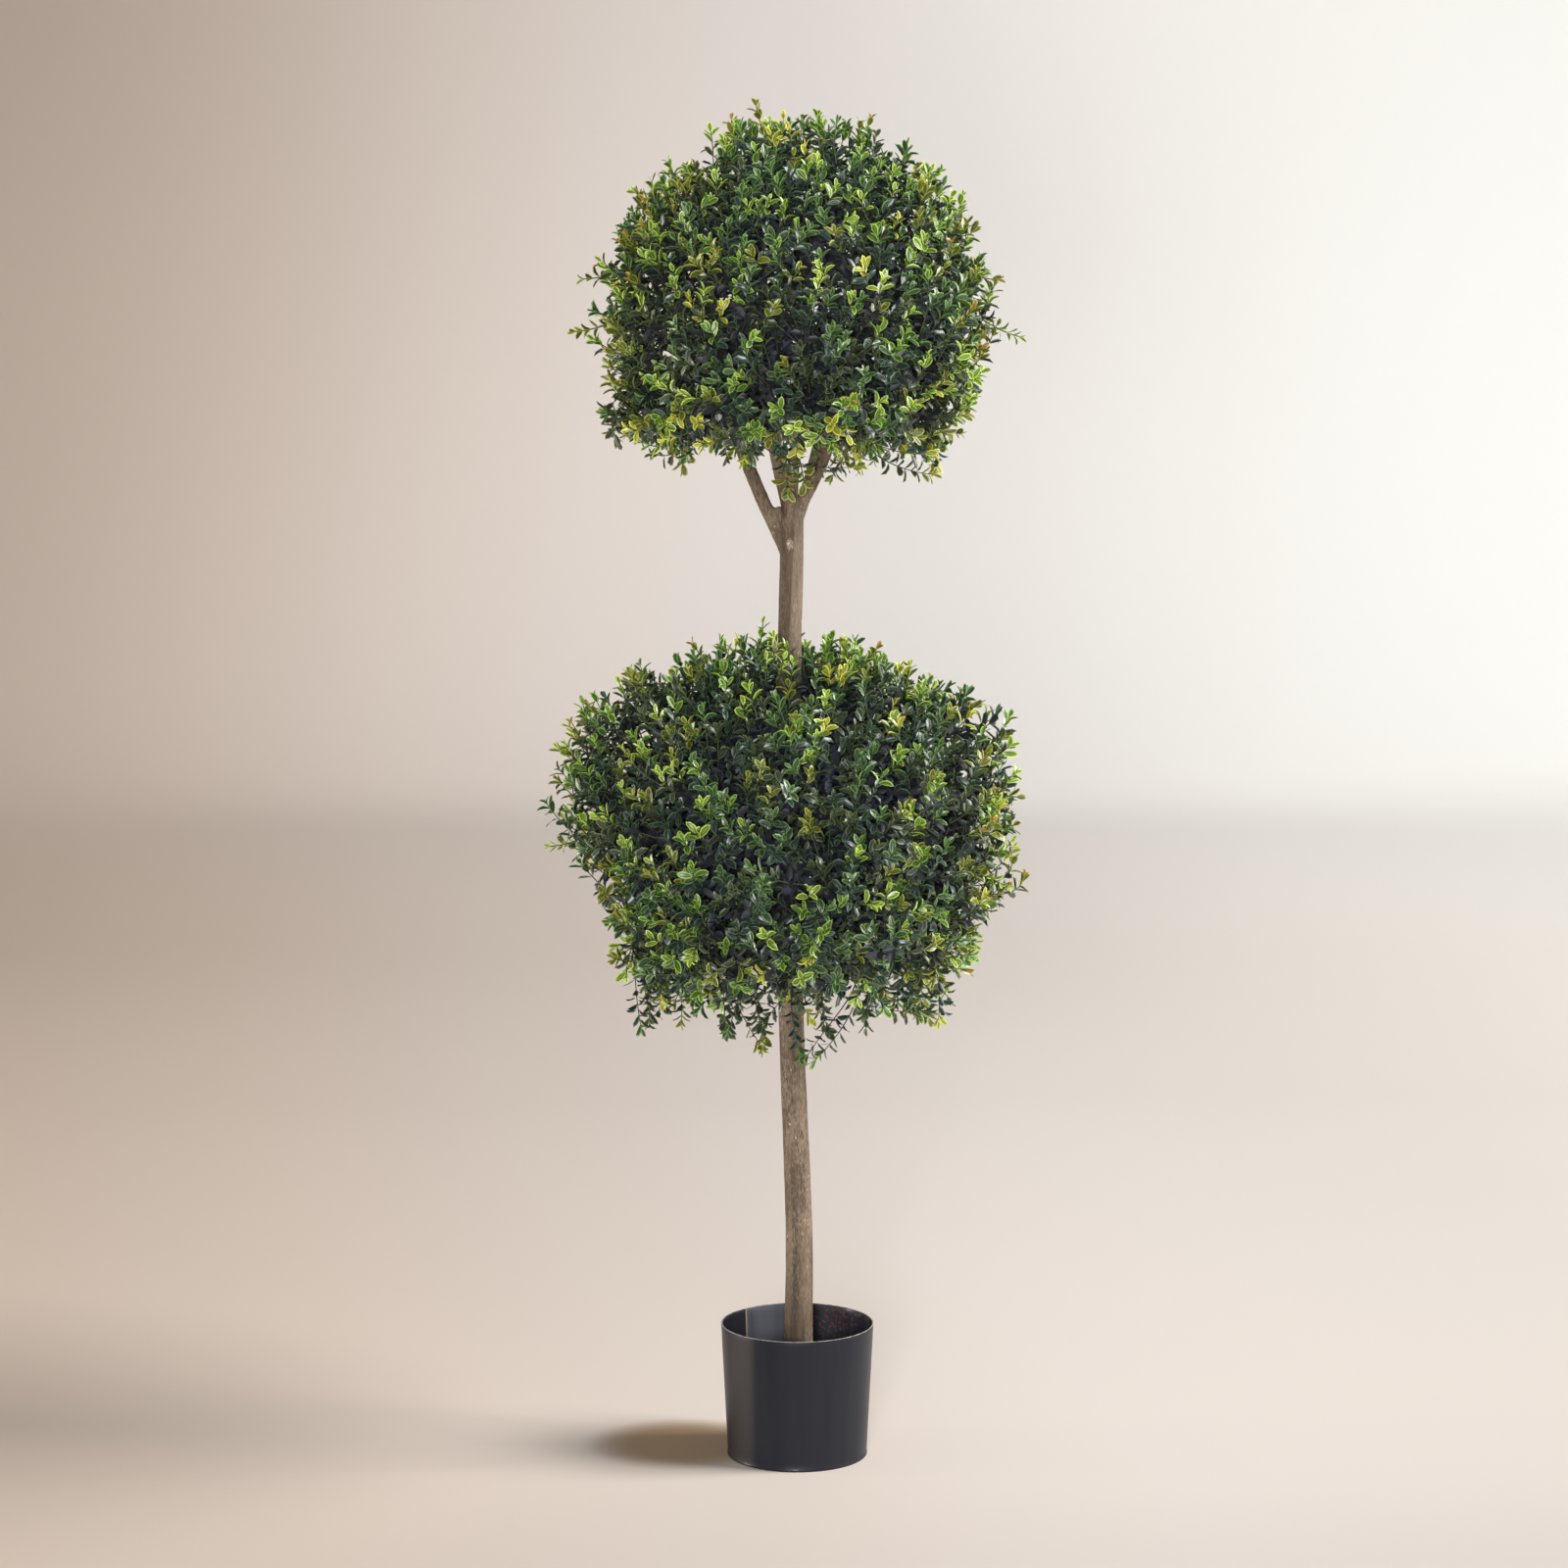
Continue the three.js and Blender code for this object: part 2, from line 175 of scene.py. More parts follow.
class Finish:  # one material: fixed values are set on the shader, and patterns are linked to it
    def __init__(self, name, colour, roughness, **fixed):
        self.material = bpy.data.materials.new(name)
        self.material.use_nodes = True
        self.material.diffuse_color = paint(*colour)
        self.tree = self.material.node_tree
        self.shader = self.tree.nodes["Principled BSDF"]
        self.give(self.shader, {"Base Color": paint(*colour), "Roughness": roughness, **fixed})

    def give(self, node, values):
        for name, value in values.items():
            if isinstance(value, Flow):
                value = value.socket
            if isinstance(value, bpy.types.NodeSocket):
                self.tree.links.new(value, node.inputs[name])
            else:
                node.inputs[name].default_value = value

    def node(self, kind, settings=None, values=None):
        made = self.tree.nodes.new(kind)
        for name, value in (settings or {}).items():
            setattr(made, name, value)
        self.give(made, values or {})
        return made

    def places(self, squeeze=1):  # object coordinates, squeezed along Z
        spot = self.node("ShaderNodeTexCoord").outputs["Object"]
        return self.node("ShaderNodeMapping", None, {"Vector": spot, "Scale": (1, 1, squeeze)}).outputs[0]

    def axis(self, name):  # one of X, Y and Z in metres
        split = self.node("ShaderNodeSeparateXYZ", None, {0: self.places()})
        return Flow(self, split.outputs[name])

    def noise(self, scale, detail, rough=0.55, squeeze=1, twist=0.0):  # squeeze < 1 draws it out along Z
        made = self.node("ShaderNodeTexNoise", None, {
            "Vector": self.places(squeeze),
            "Scale": scale,
            "Detail": detail,
            "Roughness": rough,
            "Distortion": twist,
        })
        return Flow(self, made.outputs["Fac"])

    def mix(self, share, first, second):  # of two colours, each a socket or red, green and blue up to 255
        first, second = (paint(*tone) if isinstance(tone, tuple) else tone for tone in (first, second))
        made = self.node("ShaderNodeMix", {"data_type": "RGBA"}, {0: share, 6: first, 7: second})
        return made.outputs[2]

    def bump(self, height, depth):  # depth in metres for a height from 0 to 1
        made = self.node("ShaderNodeBump", None, {"Height": height, "Distance": depth})
        self.give(self.shader, {"Normal": made.outputs[0]})


# Meshes from arrays

def putMesh(name, points, faceSets, finishes, faceFinish=None):
    # faceSets is a list of arrays of corner numbers, each with a width of its own (3 or 4), and faceFinish
    # is a list of the same lengths with the number of each face's finish.
    mesh = bpy.data.meshes.new(name)
    widths = np.concatenate([np.full(len(faces), faces.shape[1]) for faces in faceSets])
    corners = np.concatenate([faces.ravel() for faces in faceSets])
    mesh.vertices.add(len(points))
    mesh.vertices.foreach_set("co", np.asarray(points, np.float32).ravel())
    mesh.loops.add(len(corners))
    mesh.loops.foreach_set("vertex_index", corners.astype(np.int32))
    mesh.polygons.add(len(widths))
    mesh.polygons.foreach_set("loop_start", (np.cumsum(widths) - widths).astype(np.int32))
    mesh.polygons.foreach_set("loop_total", widths.astype(np.int32))
    for finish in finishes:
        mesh.materials.append(finish.material)
    if faceFinish is not None:
        mesh.polygons.foreach_set("material_index", np.concatenate(faceFinish).astype(np.int32))
    mesh.polygons.foreach_set("use_smooth", np.full(len(widths), True))
    mesh.update(calc_edges=True)
    mesh.validate()
    piece = bpy.data.objects.new(name, mesh)
    bpy.context.collection.objects.link(piece)
    return piece


def addPiece(piece, slot, *nodes):
    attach(piece, "root")
    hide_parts(*nodes)
    print("made", piece.name, "with", len(piece.data.polygons), "faces")


def unit(vectors):
    return vectors / np.maximum(np.linalg.norm(vectors, axis=-1, keepdims=True), 1e-12)


def dot(first, second):
    return (first * second).sum(-1, keepdims=True)


def vectorsOf(items, name):  # the vector of that name of each vertex, as an array
    flat = np.empty(len(items) * 3, np.float32)
    items.foreach_get(name, flat)
    return flat.reshape(-1, 3)


def roundAxis(radius, z, turn):
    # Points at radius * cos(turn), radius * sin(turn) and z.
    return np.stack(np.broadcast_arrays(radius * np.cos(turn), radius * np.sin(turn), z), axis=-1)


def closedSkin(rings, foot, head):
    # Faces round each stack of rings, with a fan to a point of its own at either end.
    # rings is (stacks, rings, around, 3), and foot and head hold a point for each stack.
    count, deep, around = rings.shape[:3]
    corner = np.arange(count * deep * around).reshape(count, deep, around)
    after = np.roll(corner, -1, axis=2)
    quads = np.stack([corner[:, :-1], after[:, :-1], after[:, 1:], corner[:, 1:]], axis=-1).reshape(-1, 4)
    hub = np.broadcast_to(corner.size + np.arange(count)[:, None], (count, around))
    fans = [(hub, after[:, 0], corner[:, 0]), (hub + count, corner[:, -1], after[:, -1])]
    caps = [np.stack(fan, axis=-1).reshape(-1, 3) for fan in fans]
    return np.concatenate([rings.reshape(-1, 3), foot, head]), quads, np.concatenate(caps)


def tubes(paths, radii, sides):
    # Ring k of each tube is path point k + radius * (cos(a) * sideways + sin(a) * across).
    # paths is (tubes, rings, 3), and radii is (tubes, rings).
    along = unit(np.gradient(paths, axis=1))
    sideways = np.zeros_like(along)
    sideways[..., 0] = 1.0
    steep = np.abs(along[..., :1]).max(axis=1, keepdims=True) > 0.9
    sideways = np.where(steep, np.array([0.0, 1.0, 0.0]), sideways)
    sideways = unit(sideways - dot(sideways, along) * along)
    across = np.cross(along, sideways)
    turn = np.arange(sides) * 2 * np.pi / sides
    spoke = np.cos(turn)[:, None] * sideways[:, :, None] + np.sin(turn)[:, None] * across[:, :, None]
    walls = paths[:, :, None] + radii[:, :, None, None] * spoke
    return closedSkin(walls, paths[:, 0], paths[:, -1])


def pathThrough(corners, count):
    # Centripetal Catmull-Rom curve through the corners, then points at even steps along it.
    corners = np.asarray(corners, float)
    knots = np.vstack([2 * corners[0] - corners[1], corners, 2 * corners[-1] - corners[-2]])
    spans = np.sqrt(np.linalg.norm(np.diff(knots, axis=0), axis=1))[:, None]
    one, two, three, four = knots[:-3], knots[1:-2], knots[2:-1], knots[3:]
    before, within, beyond = spans[:-2], spans[1:-1], spans[2:]
    leave = (two - one) / before - (three - one) / (before + within) + (three - two) / within
    arrive = (three - two) / within - (four - two) / (within + beyond) + (four - three) / beyond
    t = np.linspace(0, 1, 33)[:-1, None, None]
    curve = (
        (2 * t**3 - 3 * t**2 + 1) * two + (t**3 - 2 * t**2 + t) * leave * within
        + (3 * t**2 - 2 * t**3) * three + (t**3 - t**2) * arrive * within
    )
    dense = np.vstack([curve.transpose(1, 0, 2).reshape(-1, 3), corners[-1]])
    gone = np.concatenate([[0], np.cumsum(np.linalg.norm(np.diff(dense, axis=0), axis=1))])
    even = np.linspace(0, gone[-1], count)
    return np.stack([np.interp(even, gone, dense[:, k]) for k in range(3)], axis=1)


def smoothNoise(points, seed):
    # Random numbers from -1 to 1 at whole coordinates, blended smoothly across each cell between them.
    cell = np.floor(points).astype(np.int64)
    part = points - cell
    part = part * part * (3 - 2 * part)
    total = np.zeros(points.shape[:-1])
    for corner in np.ndindex(2, 2, 2):
        spot = cell + corner
        code = spot[..., 0] * 73856093 ^ spot[..., 1] * 19349663 ^ spot[..., 2] * 83492791 ^ seed * 2654435761
        code = ((code ^ (code >> 13)) * 1274126177) & 0xFFFFFFFF
        value = ((code ^ (code >> 16)) & 0xFFFF) / 32767.5 - 1
        share = np.where(corner, part, 1 - part).prod(axis=-1)
        total += share * value
    return total


# Pot

pot = {
    "height": 0.152,
    "rimRadius": 0.086,
    "footRadius": 0.0784,
    "wall": 0.0016,
    "floor": 0.003,
    "beadHeight": 0.003,
    "bead": 0.0007,
    "beadSoft": 0.0006,  # how far up or down the roundings at the bead's edges reach
    "rimRound": 0.0005,
    "cornerInset": 0.0015,  # how far in from its corner the outermost ring of a flat floor lies
    "wallStart": 0.002,  # how far above the floor the straight part of the inner wall starts
    "lapFrom": 86.0,  # degrees round from +X
    "lapTo": 134.0,
    "lapStep": 0.25,  # half the width of the step at either end of the lap, in degrees
    "lapThickness": 0.0011,
    "lapBelowRim": 0.0015,
    "around": 240,
    "wallRings": 26,
    "satin": (19, 23, 33),
    "satinWorn": (28, 31, 39),
    "paintedReflectionStripe": (58, 54, 53),  # painted reflection, a warm pale band down the left of the front
    "paintedReflectionAt": -0.062,
    "paintedReflectionTight": 60,  # one over its half width
    "insideSatin": (54, 57, 64),
    "insideWorn": (74, 77, 83),
    "insideShade": (24, 25, 31),  # painted shade on the inside, left of the seam
    "shadeBeyond": (0.0582, 0.0592),  # how far to the left that starts
    "shadeRight": 0.45,  # how much of that painted shade there is at the right
    # painted highlight along the top of the rim, with darker scuffs in it
    "rimHighlight": (172, 166, 162),
    "rimHighlightScuff": (112, 108, 108),
    "seamEdge": (148, 122, 104),
    "rust": (128, 78, 66),
    "rustShare": 0.65,
}
fillingTop = 0.095


def outerRadius(z):
    return pot["footRadius"] + (pot["rimRadius"] - pot["footRadius"]) * z / pot["height"]


def innerRadius(z):
    return outerRadius(z) - pot["wall"]


def innerWall(finish):  # 1 on the inner side of the wall, by its distance from the axis
    x, y, z = finish.axis("X"), finish.axis("Y"), finish.axis("Z")
    taper = (pot["rimRadius"] - pot["footRadius"]) / pot["height"]
    middle = pot["footRadius"] - pot["wall"] / 2 + z * taper
    away = (x * x + y * y) ** 0.5
    return (middle - away).over(0, pot["wall"] * 0.2)


def potFinish():
    finish = Finish("satinPot", pot["satin"], 0.4, **{
        "Specular IOR Level": 0.25,
        "Coat Weight": 0.1,
        "Coat Roughness": 0.16,
    })
    cloud = finish.noise(9, 5, 0.6, 0.35)
    grain = finish.noise(620, 3, 0.7)
    streak = finish.noise(60, 3, 0.5, 0.05)
    worn = (cloud * 0.6 + streak * 0.4).over(0.42, 0.66)
    satin = finish.mix(worn, pot["satin"], pot["satinWorn"])
    panel = finish.noise(38, 2, 0.5, 0.02)
    # Painted reflection: a warm pale band down the left of the front.
    aside = (finish.axis("X") - pot["paintedReflectionAt"]) * pot["paintedReflectionTight"]
    stripe = (1 - aside * aside).over(0, 1) * (0.7 + cloud * 0.4)
    satin = finish.mix(stripe, satin, pot["paintedReflectionStripe"])
    inner = finish.mix(panel.over(0.35, 0.65), pot["insideSatin"], pot["insideWorn"])
    # Painted shade on the inside of the wall: darker left of the seam, and over the right half.
    inner = finish.mix((finish.axis("X") * -1).over(*pot["shadeBeyond"]), inner, pot["insideShade"])
    inner = finish.mix(finish.axis("X").over(0.0, 0.02) * pot["shadeRight"], inner, pot["insideShade"])
    satin = finish.mix(innerWall(finish), satin, inner)
    spots = finish.noise(330, 2, 0.5).over(0.54, 0.64)
    inside = innerWall(finish) * finish.axis("X").over(0.0, 0.03) * finish.axis("Z").over(0.1, 0.13)
    patches = finish.noise(34, 3, 0.6).over(0.3, 0.5)
    colour = finish.mix(spots * inside * patches * pot["rustShare"], satin, pot["rust"])
    finish.give(finish.shader, {"Base Color": colour, "Roughness": 0.36 + cloud * 0.1 + grain * 0.06})
    finish.bump(grain * 0.5 + cloud * 3.0, 0.00006)
    return finish


def makePot():
    # A profile of radius and height is carried round the axis. Inside the lap the wall stands further in.
    height, bead, low = pot["height"], pot["bead"], pot["beadHeight"]
    soft, beadSoft, inset = pot["rimRound"], pot["beadSoft"], pot["cornerInset"]
    wallSteps = np.linspace(height - soft, pot["floor"] + pot["wallStart"], pot["wallRings"])
    outerSteps = np.linspace(low + beadSoft, height - soft, pot["wallRings"])
    arc = np.linspace(0, np.pi, 7)[1:-1]
    rimMiddle = (outerRadius(height) + innerRadius(height)) / 2
    rimHalf = pot["wall"] / 2
    foot = [
        (outerRadius(0) - inset, 0.0),
        (outerRadius(0), 0.0001),
        (outerRadius(0) + bead * 0.8, beadSoft),
        (outerRadius(low / 2) + bead, low / 2),
        (outerRadius(low) + bead * 0.6, low - 0.0004),
    ]
    profile = [
        *foot,
        *[(outerRadius(z), z) for z in outerSteps],
        *[(rimMiddle + rimHalf * np.cos(a), height - soft + soft * np.sin(a)) for a in arc],
        *[(innerRadius(z), z) for z in wallSteps],
        (innerRadius(pot["floor"]) - inset, pot["floor"]),
    ]
    radius, z = np.array(profile).T
    rimFirst = len(foot) + len(outerSteps)
    innerFirst = rimFirst + len(arc)
    lapFrom, lapTo, half = np.radians([pot["lapFrom"], pot["lapTo"], pot["lapStep"]])
    turn = np.linspace(0, 2 * np.pi, pot["around"], endpoint=False)
    turn = np.sort(np.concatenate([turn, [lapFrom - half, lapFrom + half, lapTo - half, lapTo + half]]))
    inLap = (turn > lapFrom) & (turn < lapTo)
    isWall = (np.arange(len(radius)) >= innerFirst) & (np.arange(len(radius)) < len(radius) - 1)
    lapped = isWall & (z < height - pot["lapBelowRim"])
    grid = roundAxis(radius[:, None] - pot["lapThickness"] * (lapped[:, None] & inLap), z[:, None], turn)
    points, quads, caps = closedSkin(grid[None], [[0, 0, 0]], [[0, 0, pot["floor"]]])
    ring = np.arange(len(radius) - 1)[:, None]
    isRim = (ring >= rimFirst - 1) & (ring < innerFirst)
    step = np.append(np.diff(inLap.astype(int)) != 0, False)
    isSeam = (ring >= innerFirst) & step & (turn > (lapFrom + lapTo) / 2)
    finishOf = np.where(isRim, 1, np.where(isSeam, 2, 0))
    # The rim's top is painted pale: a painted highlight, with darker scuffs in it.
    rimHighlightFinish = Finish("paintedRimHighlight", pot["rimHighlight"], 0.42)
    scuffs = rimHighlightFinish.noise(140, 3).over(0.35, 0.7)
    rimHighlightFinish.give(rimHighlightFinish.shader, {
        "Base Color": rimHighlightFinish.mix(scuffs, pot["rimHighlight"], pot["rimHighlightScuff"]),
    })
    seamFinish = Finish("seamEdge", pot["seamEdge"], 0.5)
    piece = putMesh(
        "pot_body", points, [quads, caps], [potFinish(), rimHighlightFinish, seamFinish],
        [finishOf.ravel(), np.zeros(len(caps))],
    )
    addPiece(piece, "pot", "pot")


# Filling

filling = {
    "rings": 70,
    "around": 150,
    "innermost": 0.02,  # share of the radius at which the rings end
    "relief": 0.0016,
    "lumpSize": 0.009,
    "crumbSize": 0.0035,
    "edgeFall": 12,  # one over the share of the radius within which the relief dies away
    "middleDip": 0.001,
    "gap": 0.0003,
    "crumbDepth": 0.0012,
    "dark": (47, 40, 35),
    "pale": (86, 76, 66),
}


def makeFilling():
    # A lumpy disc: height is the filling's top - relief * 0.6 * (1 - lumps), where lumps is smooth noise and
    # the relief dies away at the edge.
    bottom = pot["floor"] + filling["gap"]
    share = np.linspace(1, filling["innermost"], filling["rings"])[:, None]
    turn = np.linspace(0, 2 * np.pi, filling["around"], endpoint=False)[None, :]
    reach = innerRadius(fillingTop) - filling["gap"] - pot["lapThickness"]
    spot = roundAxis(reach * share, 0, turn)
    lumps = smoothNoise(spot / filling["lumpSize"], 5) * 0.6
    lumps += smoothNoise(spot / filling["crumbSize"], 6) * 0.4
    relief = filling["relief"] * (0.6 - 0.6 * lumps) * np.minimum(1, (1 - share) * filling["edgeFall"])
    wall = roundAxis(innerRadius(bottom) - filling["gap"], bottom, turn)
    grid = np.concatenate([wall, roundAxis(reach * share, fillingTop - relief, turn)])
    middle = [[0, 0, fillingTop - filling["middleDip"]]]
    points, quads, caps = closedSkin(grid[None], [[0, 0, bottom]], middle)
    finish = Finish("roughCast", filling["dark"], 0.95)
    crumbs = finish.noise(260, 5, 0.7)
    colour = finish.mix(crumbs.over(0.45, 0.7), filling["dark"], filling["pale"])
    finish.give(finish.shader, {"Base Color": colour})
    finish.bump(crumbs, filling["crumbDepth"])
    addPiece(putMesh("filling_top", points, [quads, caps], [finish]), "filling", "filling")


# Stem and limbs

stem = {
    "path": [
        (0.0008, 0, 0.0953), (0.002, -0.001, 0.245), (-0.0024, 0.001, 0.377), (-0.006, 0.002, 0.47),
        (-0.0095, 0.001, 0.7), (-0.0089, 0, 0.92), (-0.0064, 0, 1.027), (-0.006, 0, 1.064),
    ],
    "footRadius": 0.0151,
    "forkRadius": 0.0129,
    "flare": 0.0031,
    "flareFalls": 0.055,
    "tube": (160, 48),  # rings and sides of the stem's tube
    "limbTube": (40, 32),
    "voxel": 0.0016,
    "easeRounds": 6,
    "ridges": 0.00055,  # height of the long ridges
    "grain": 0.00022,
    "ridgeSize": (0.006, 0.006, 0.11),
    "fineRidgeSize": (0.003, 0.003, 0.045),
    "grainSize": (0.0016, 0.0016, 0.012),
    "reliefFrom": 0.098,  # the foot stays on the filling
    "reliefRise": 0.01,
}
limbs = {
    "limb_left": {
        "path": [(-0.008, 0, 1.016), (-0.0326, 0, 1.07), (-0.052, 0.001, 1.114), (-0.086, 0.004, 1.204)],
        "radius": (0.0074, 0.0071),
    },
    "limb_right": {
        "path": [(-0.006, 0.002, 1.04), (-0.001, 0.001, 1.066), (0.023, 0.001, 1.116), (0.058, 0.006, 1.204)],
        "radius": (0.0076, 0.0063),
    },
    "limb_front": {
        "path": [(-0.007, -0.005, 1.036), (-0.0052, -0.0085, 1.083), (-0.0036, -0.012, 1.124),
                 (0.002, -0.03, 1.204)],
        "radius": (0.0064, 0.0053),
    },
    "limb_back": {
        "path": [(-0.006, 0.004, 1.036), (-0.012, 0.009, 1.08), (-0.021, 0.014, 1.117),
                 (-0.038, 0.034, 1.204)],
        "radius": (0.0074, 0.0062),
    },
}
webs = {  # bark that fills the forks between the limbs
    "left": {"path": [(-0.01, -0.001, 1.035), (-0.018, -0.002, 1.058), (-0.023, -0.002, 1.075)],
             "radius": (0.008, 0.005)},
    "right": {"path": [(-0.004, 0.004, 1.05), (0.006, 0.004, 1.083), (0.018, 0.006, 1.12),
                       (0.036, 0.012, 1.2)],
              "radius": (0.0078, 0.006)},
    "middle": {"path": [(-0.007, 0.002, 1.05), (-0.0115, 0.003, 1.09), (-0.013, 0.005, 1.13)],
               "radius": (0.006, 0.004)},
}
ridge = {
    "height": 0.0016,
    "width": 0.004,
    "low": (-0.0101, 0.918),  # x and z of two points that it runs through
    "high": (-0.0042, 1.0406),
    "start": (0.86, 0.08),  # height at which it starts, and how far above that it is whole
    "end": (1.08, 0.03),  # height at which it ends, and how far below that it is whole
    "sideLightStart": (0.86, 0.95),  # painted light and shade: paler right of it and darker left of it, between these heights
    "sideLightEnd": (1.05, 1.08),
    "sideLightEdge": 0.0007,
    "knot": (-0.0085, -0.0135, 1.035),
    "knotHeight": 0.0009,
    "knotWidth": 0.004,
    "knotTint": (50000, 17000),  # one over the squares of its half width and half height
}
ridgeSlope = (ridge["high"][0] - ridge["low"][0]) / (ridge["high"][1] - ridge["low"][1])
barkColours = {
    "dark": (63, 50, 38),
    "mid": (103, 86, 69),
    "pale": (136, 120, 101),
    "fleck": (192, 178, 160),
}


def stemRadius(share, z):  # an even taper from foot to fork, plus a flare that dies away upwards
    taper = stem["footRadius"] + (stem["forkRadius"] - stem["footRadius"]) * share
    return taper + stem["flare"] * np.exp(-(z - fillingTop) / stem["flareFalls"])


def barkFinish():
    finish = Finish("greyBark", barkColours["mid"], 0.85)
    streaks = finish.noise(150, 5, 0.62, 0.07, 0.3)
    bands = finish.noise(26, 4, 0.6, 0.35)
    grain = finish.noise(900, 3, 0.6, 0.18)
    flecks = finish.noise(420, 2, 0.5, 0.5).over(0.66, 0.74) * bands.over(0.45, 0.6)
    # Painted light and shade: right of the ridge the bark is paler, left of it darker, as if lit from the
    # right.
    start = ridge["low"][0] - ridge["low"][1] * ridgeSlope
    aside = finish.axis("X") - finish.axis("Z") * ridgeSlope - start
    right = aside.over(-ridge["sideLightEdge"], ridge["sideLightEdge"])
    high = finish.axis("Z").over(*ridge["sideLightStart"]) * (1 - finish.axis("Z").over(*ridge["sideLightEnd"]))
    x, z = finish.axis("X") - ridge["knot"][0], finish.axis("Z") - ridge["knot"][2]
    knot = (1 - x * x * ridge["knotTint"][0] - z * z * ridge["knotTint"][1]).over(0, 0.7)
    scribble = finish.noise(480, 1, 0.5, 1, 1.5).over(0.5, 0.56)
    ground = finish.mix(streaks.over(0.32, 0.62), barkColours["dark"], barkColours["mid"])
    ground = finish.mix((bands * 0.5 + grain * 0.5).over(0.45, 0.62), ground, barkColours["pale"])
    ground = finish.mix(right * high * 0.3, ground, barkColours["pale"])
    ground = finish.mix((1 - right) * high * 0.4, ground, barkColours["dark"])
    colour = finish.mix(flecks + knot * scribble, ground, barkColours["fleck"])
    finish.give(finish.shader, {"Base Color": colour, "Roughness": 0.72 + streaks * 0.2})
    finish.bump(streaks * 0.7 + grain * 0.3, 0.0009)
    return finish


def makeBark():
    # Closed tubes for the stem and each limb are fused, eased and then pushed out along their normals by
    # noise that is stretched along the height, and by height * exp(-distance / width) along the ridge.
    path = pathThrough(stem["path"], stem["tube"][0])
    share = np.linspace(0, 1, len(path))
    parts = [tubes(path[None], stemRadius(share, path[:, 2])[None], stem["tube"][1])]
    for limb in [*limbs.values(), *webs.values()]:
        rings, sides = stem["limbTube"]
        radii = np.linspace(*limb["radius"], rings)
        parts.append(tubes(pathThrough(limb["path"], rings)[None], radii[None], sides))
    points, quads, caps, first = [], [], [], 0
    for spots, walls, ends in parts:
        points.append(spots)
        quads.append(walls + first)
        caps.append(ends + first)
        first += len(spots)
    finish = barkFinish()
    faceSets = [np.concatenate(quads), np.concatenate(caps)]
    piece = putMesh("stem_bark", np.concatenate(points), faceSets, [finish])
    fuse = piece.modifiers.new("fuse", "REMESH")
    fuse.mode = "VOXEL"
    fuse.voxel_size = stem["voxel"]
    ease = piece.modifiers.new("ease", "SMOOTH")
    ease.factor = 0.5
    ease.iterations = stem["easeRounds"]
    shaped = piece.evaluated_get(bpy.context.evaluated_depsgraph_get())
    mesh = bpy.data.meshes.new_from_object(shaped)
    piece.modifiers.clear()
    piece.data = mesh
    spots = vectorsOf(mesh.vertices, "co").astype(float)
    height = spots[:, 2]
    long = smoothNoise(spots / stem["ridgeSize"], 11)
    long += 0.5 * smoothNoise(spots / stem["fineRidgeSize"], 12)
    fine = smoothNoise(spots / stem["grainSize"], 13)
    push = long * stem["ridges"] + fine * stem["grain"]
    push *= np.clip((height - stem["reliefFrom"]) / stem["reliefRise"], 0, 1)
    aside = np.abs(spots[:, 0] - ridge["low"][0] - ridgeSlope * (height - ridge["low"][1]))
    above = np.clip((height - ridge["start"][0]) / ridge["start"][1], 0, 1)
    below = np.clip((ridge["end"][0] - height) / ridge["end"][1], 0, 1)
    push += ridge["height"] * np.exp(-aside / ridge["width"]) * ((spots[:, 1] < 0) * above * below)
    near = np.linalg.norm(spots - ridge["knot"], axis=1) / ridge["knotWidth"]
    push += ridge["knotHeight"] * np.exp(-(near**2))
    spots += vectorsOf(mesh.vertex_normals, "vector") * push[:, None]
    mesh.vertices.foreach_set("co", spots.astype(np.float32).ravel())
    mesh.polygons.foreach_set("use_smooth", np.full(len(mesh.polygons), True))
    mesh.materials.clear()
    mesh.materials.append(finish.material)
    mesh.update()
    addPiece(piece, "bark", "trunk", *limbs)


# Foliage

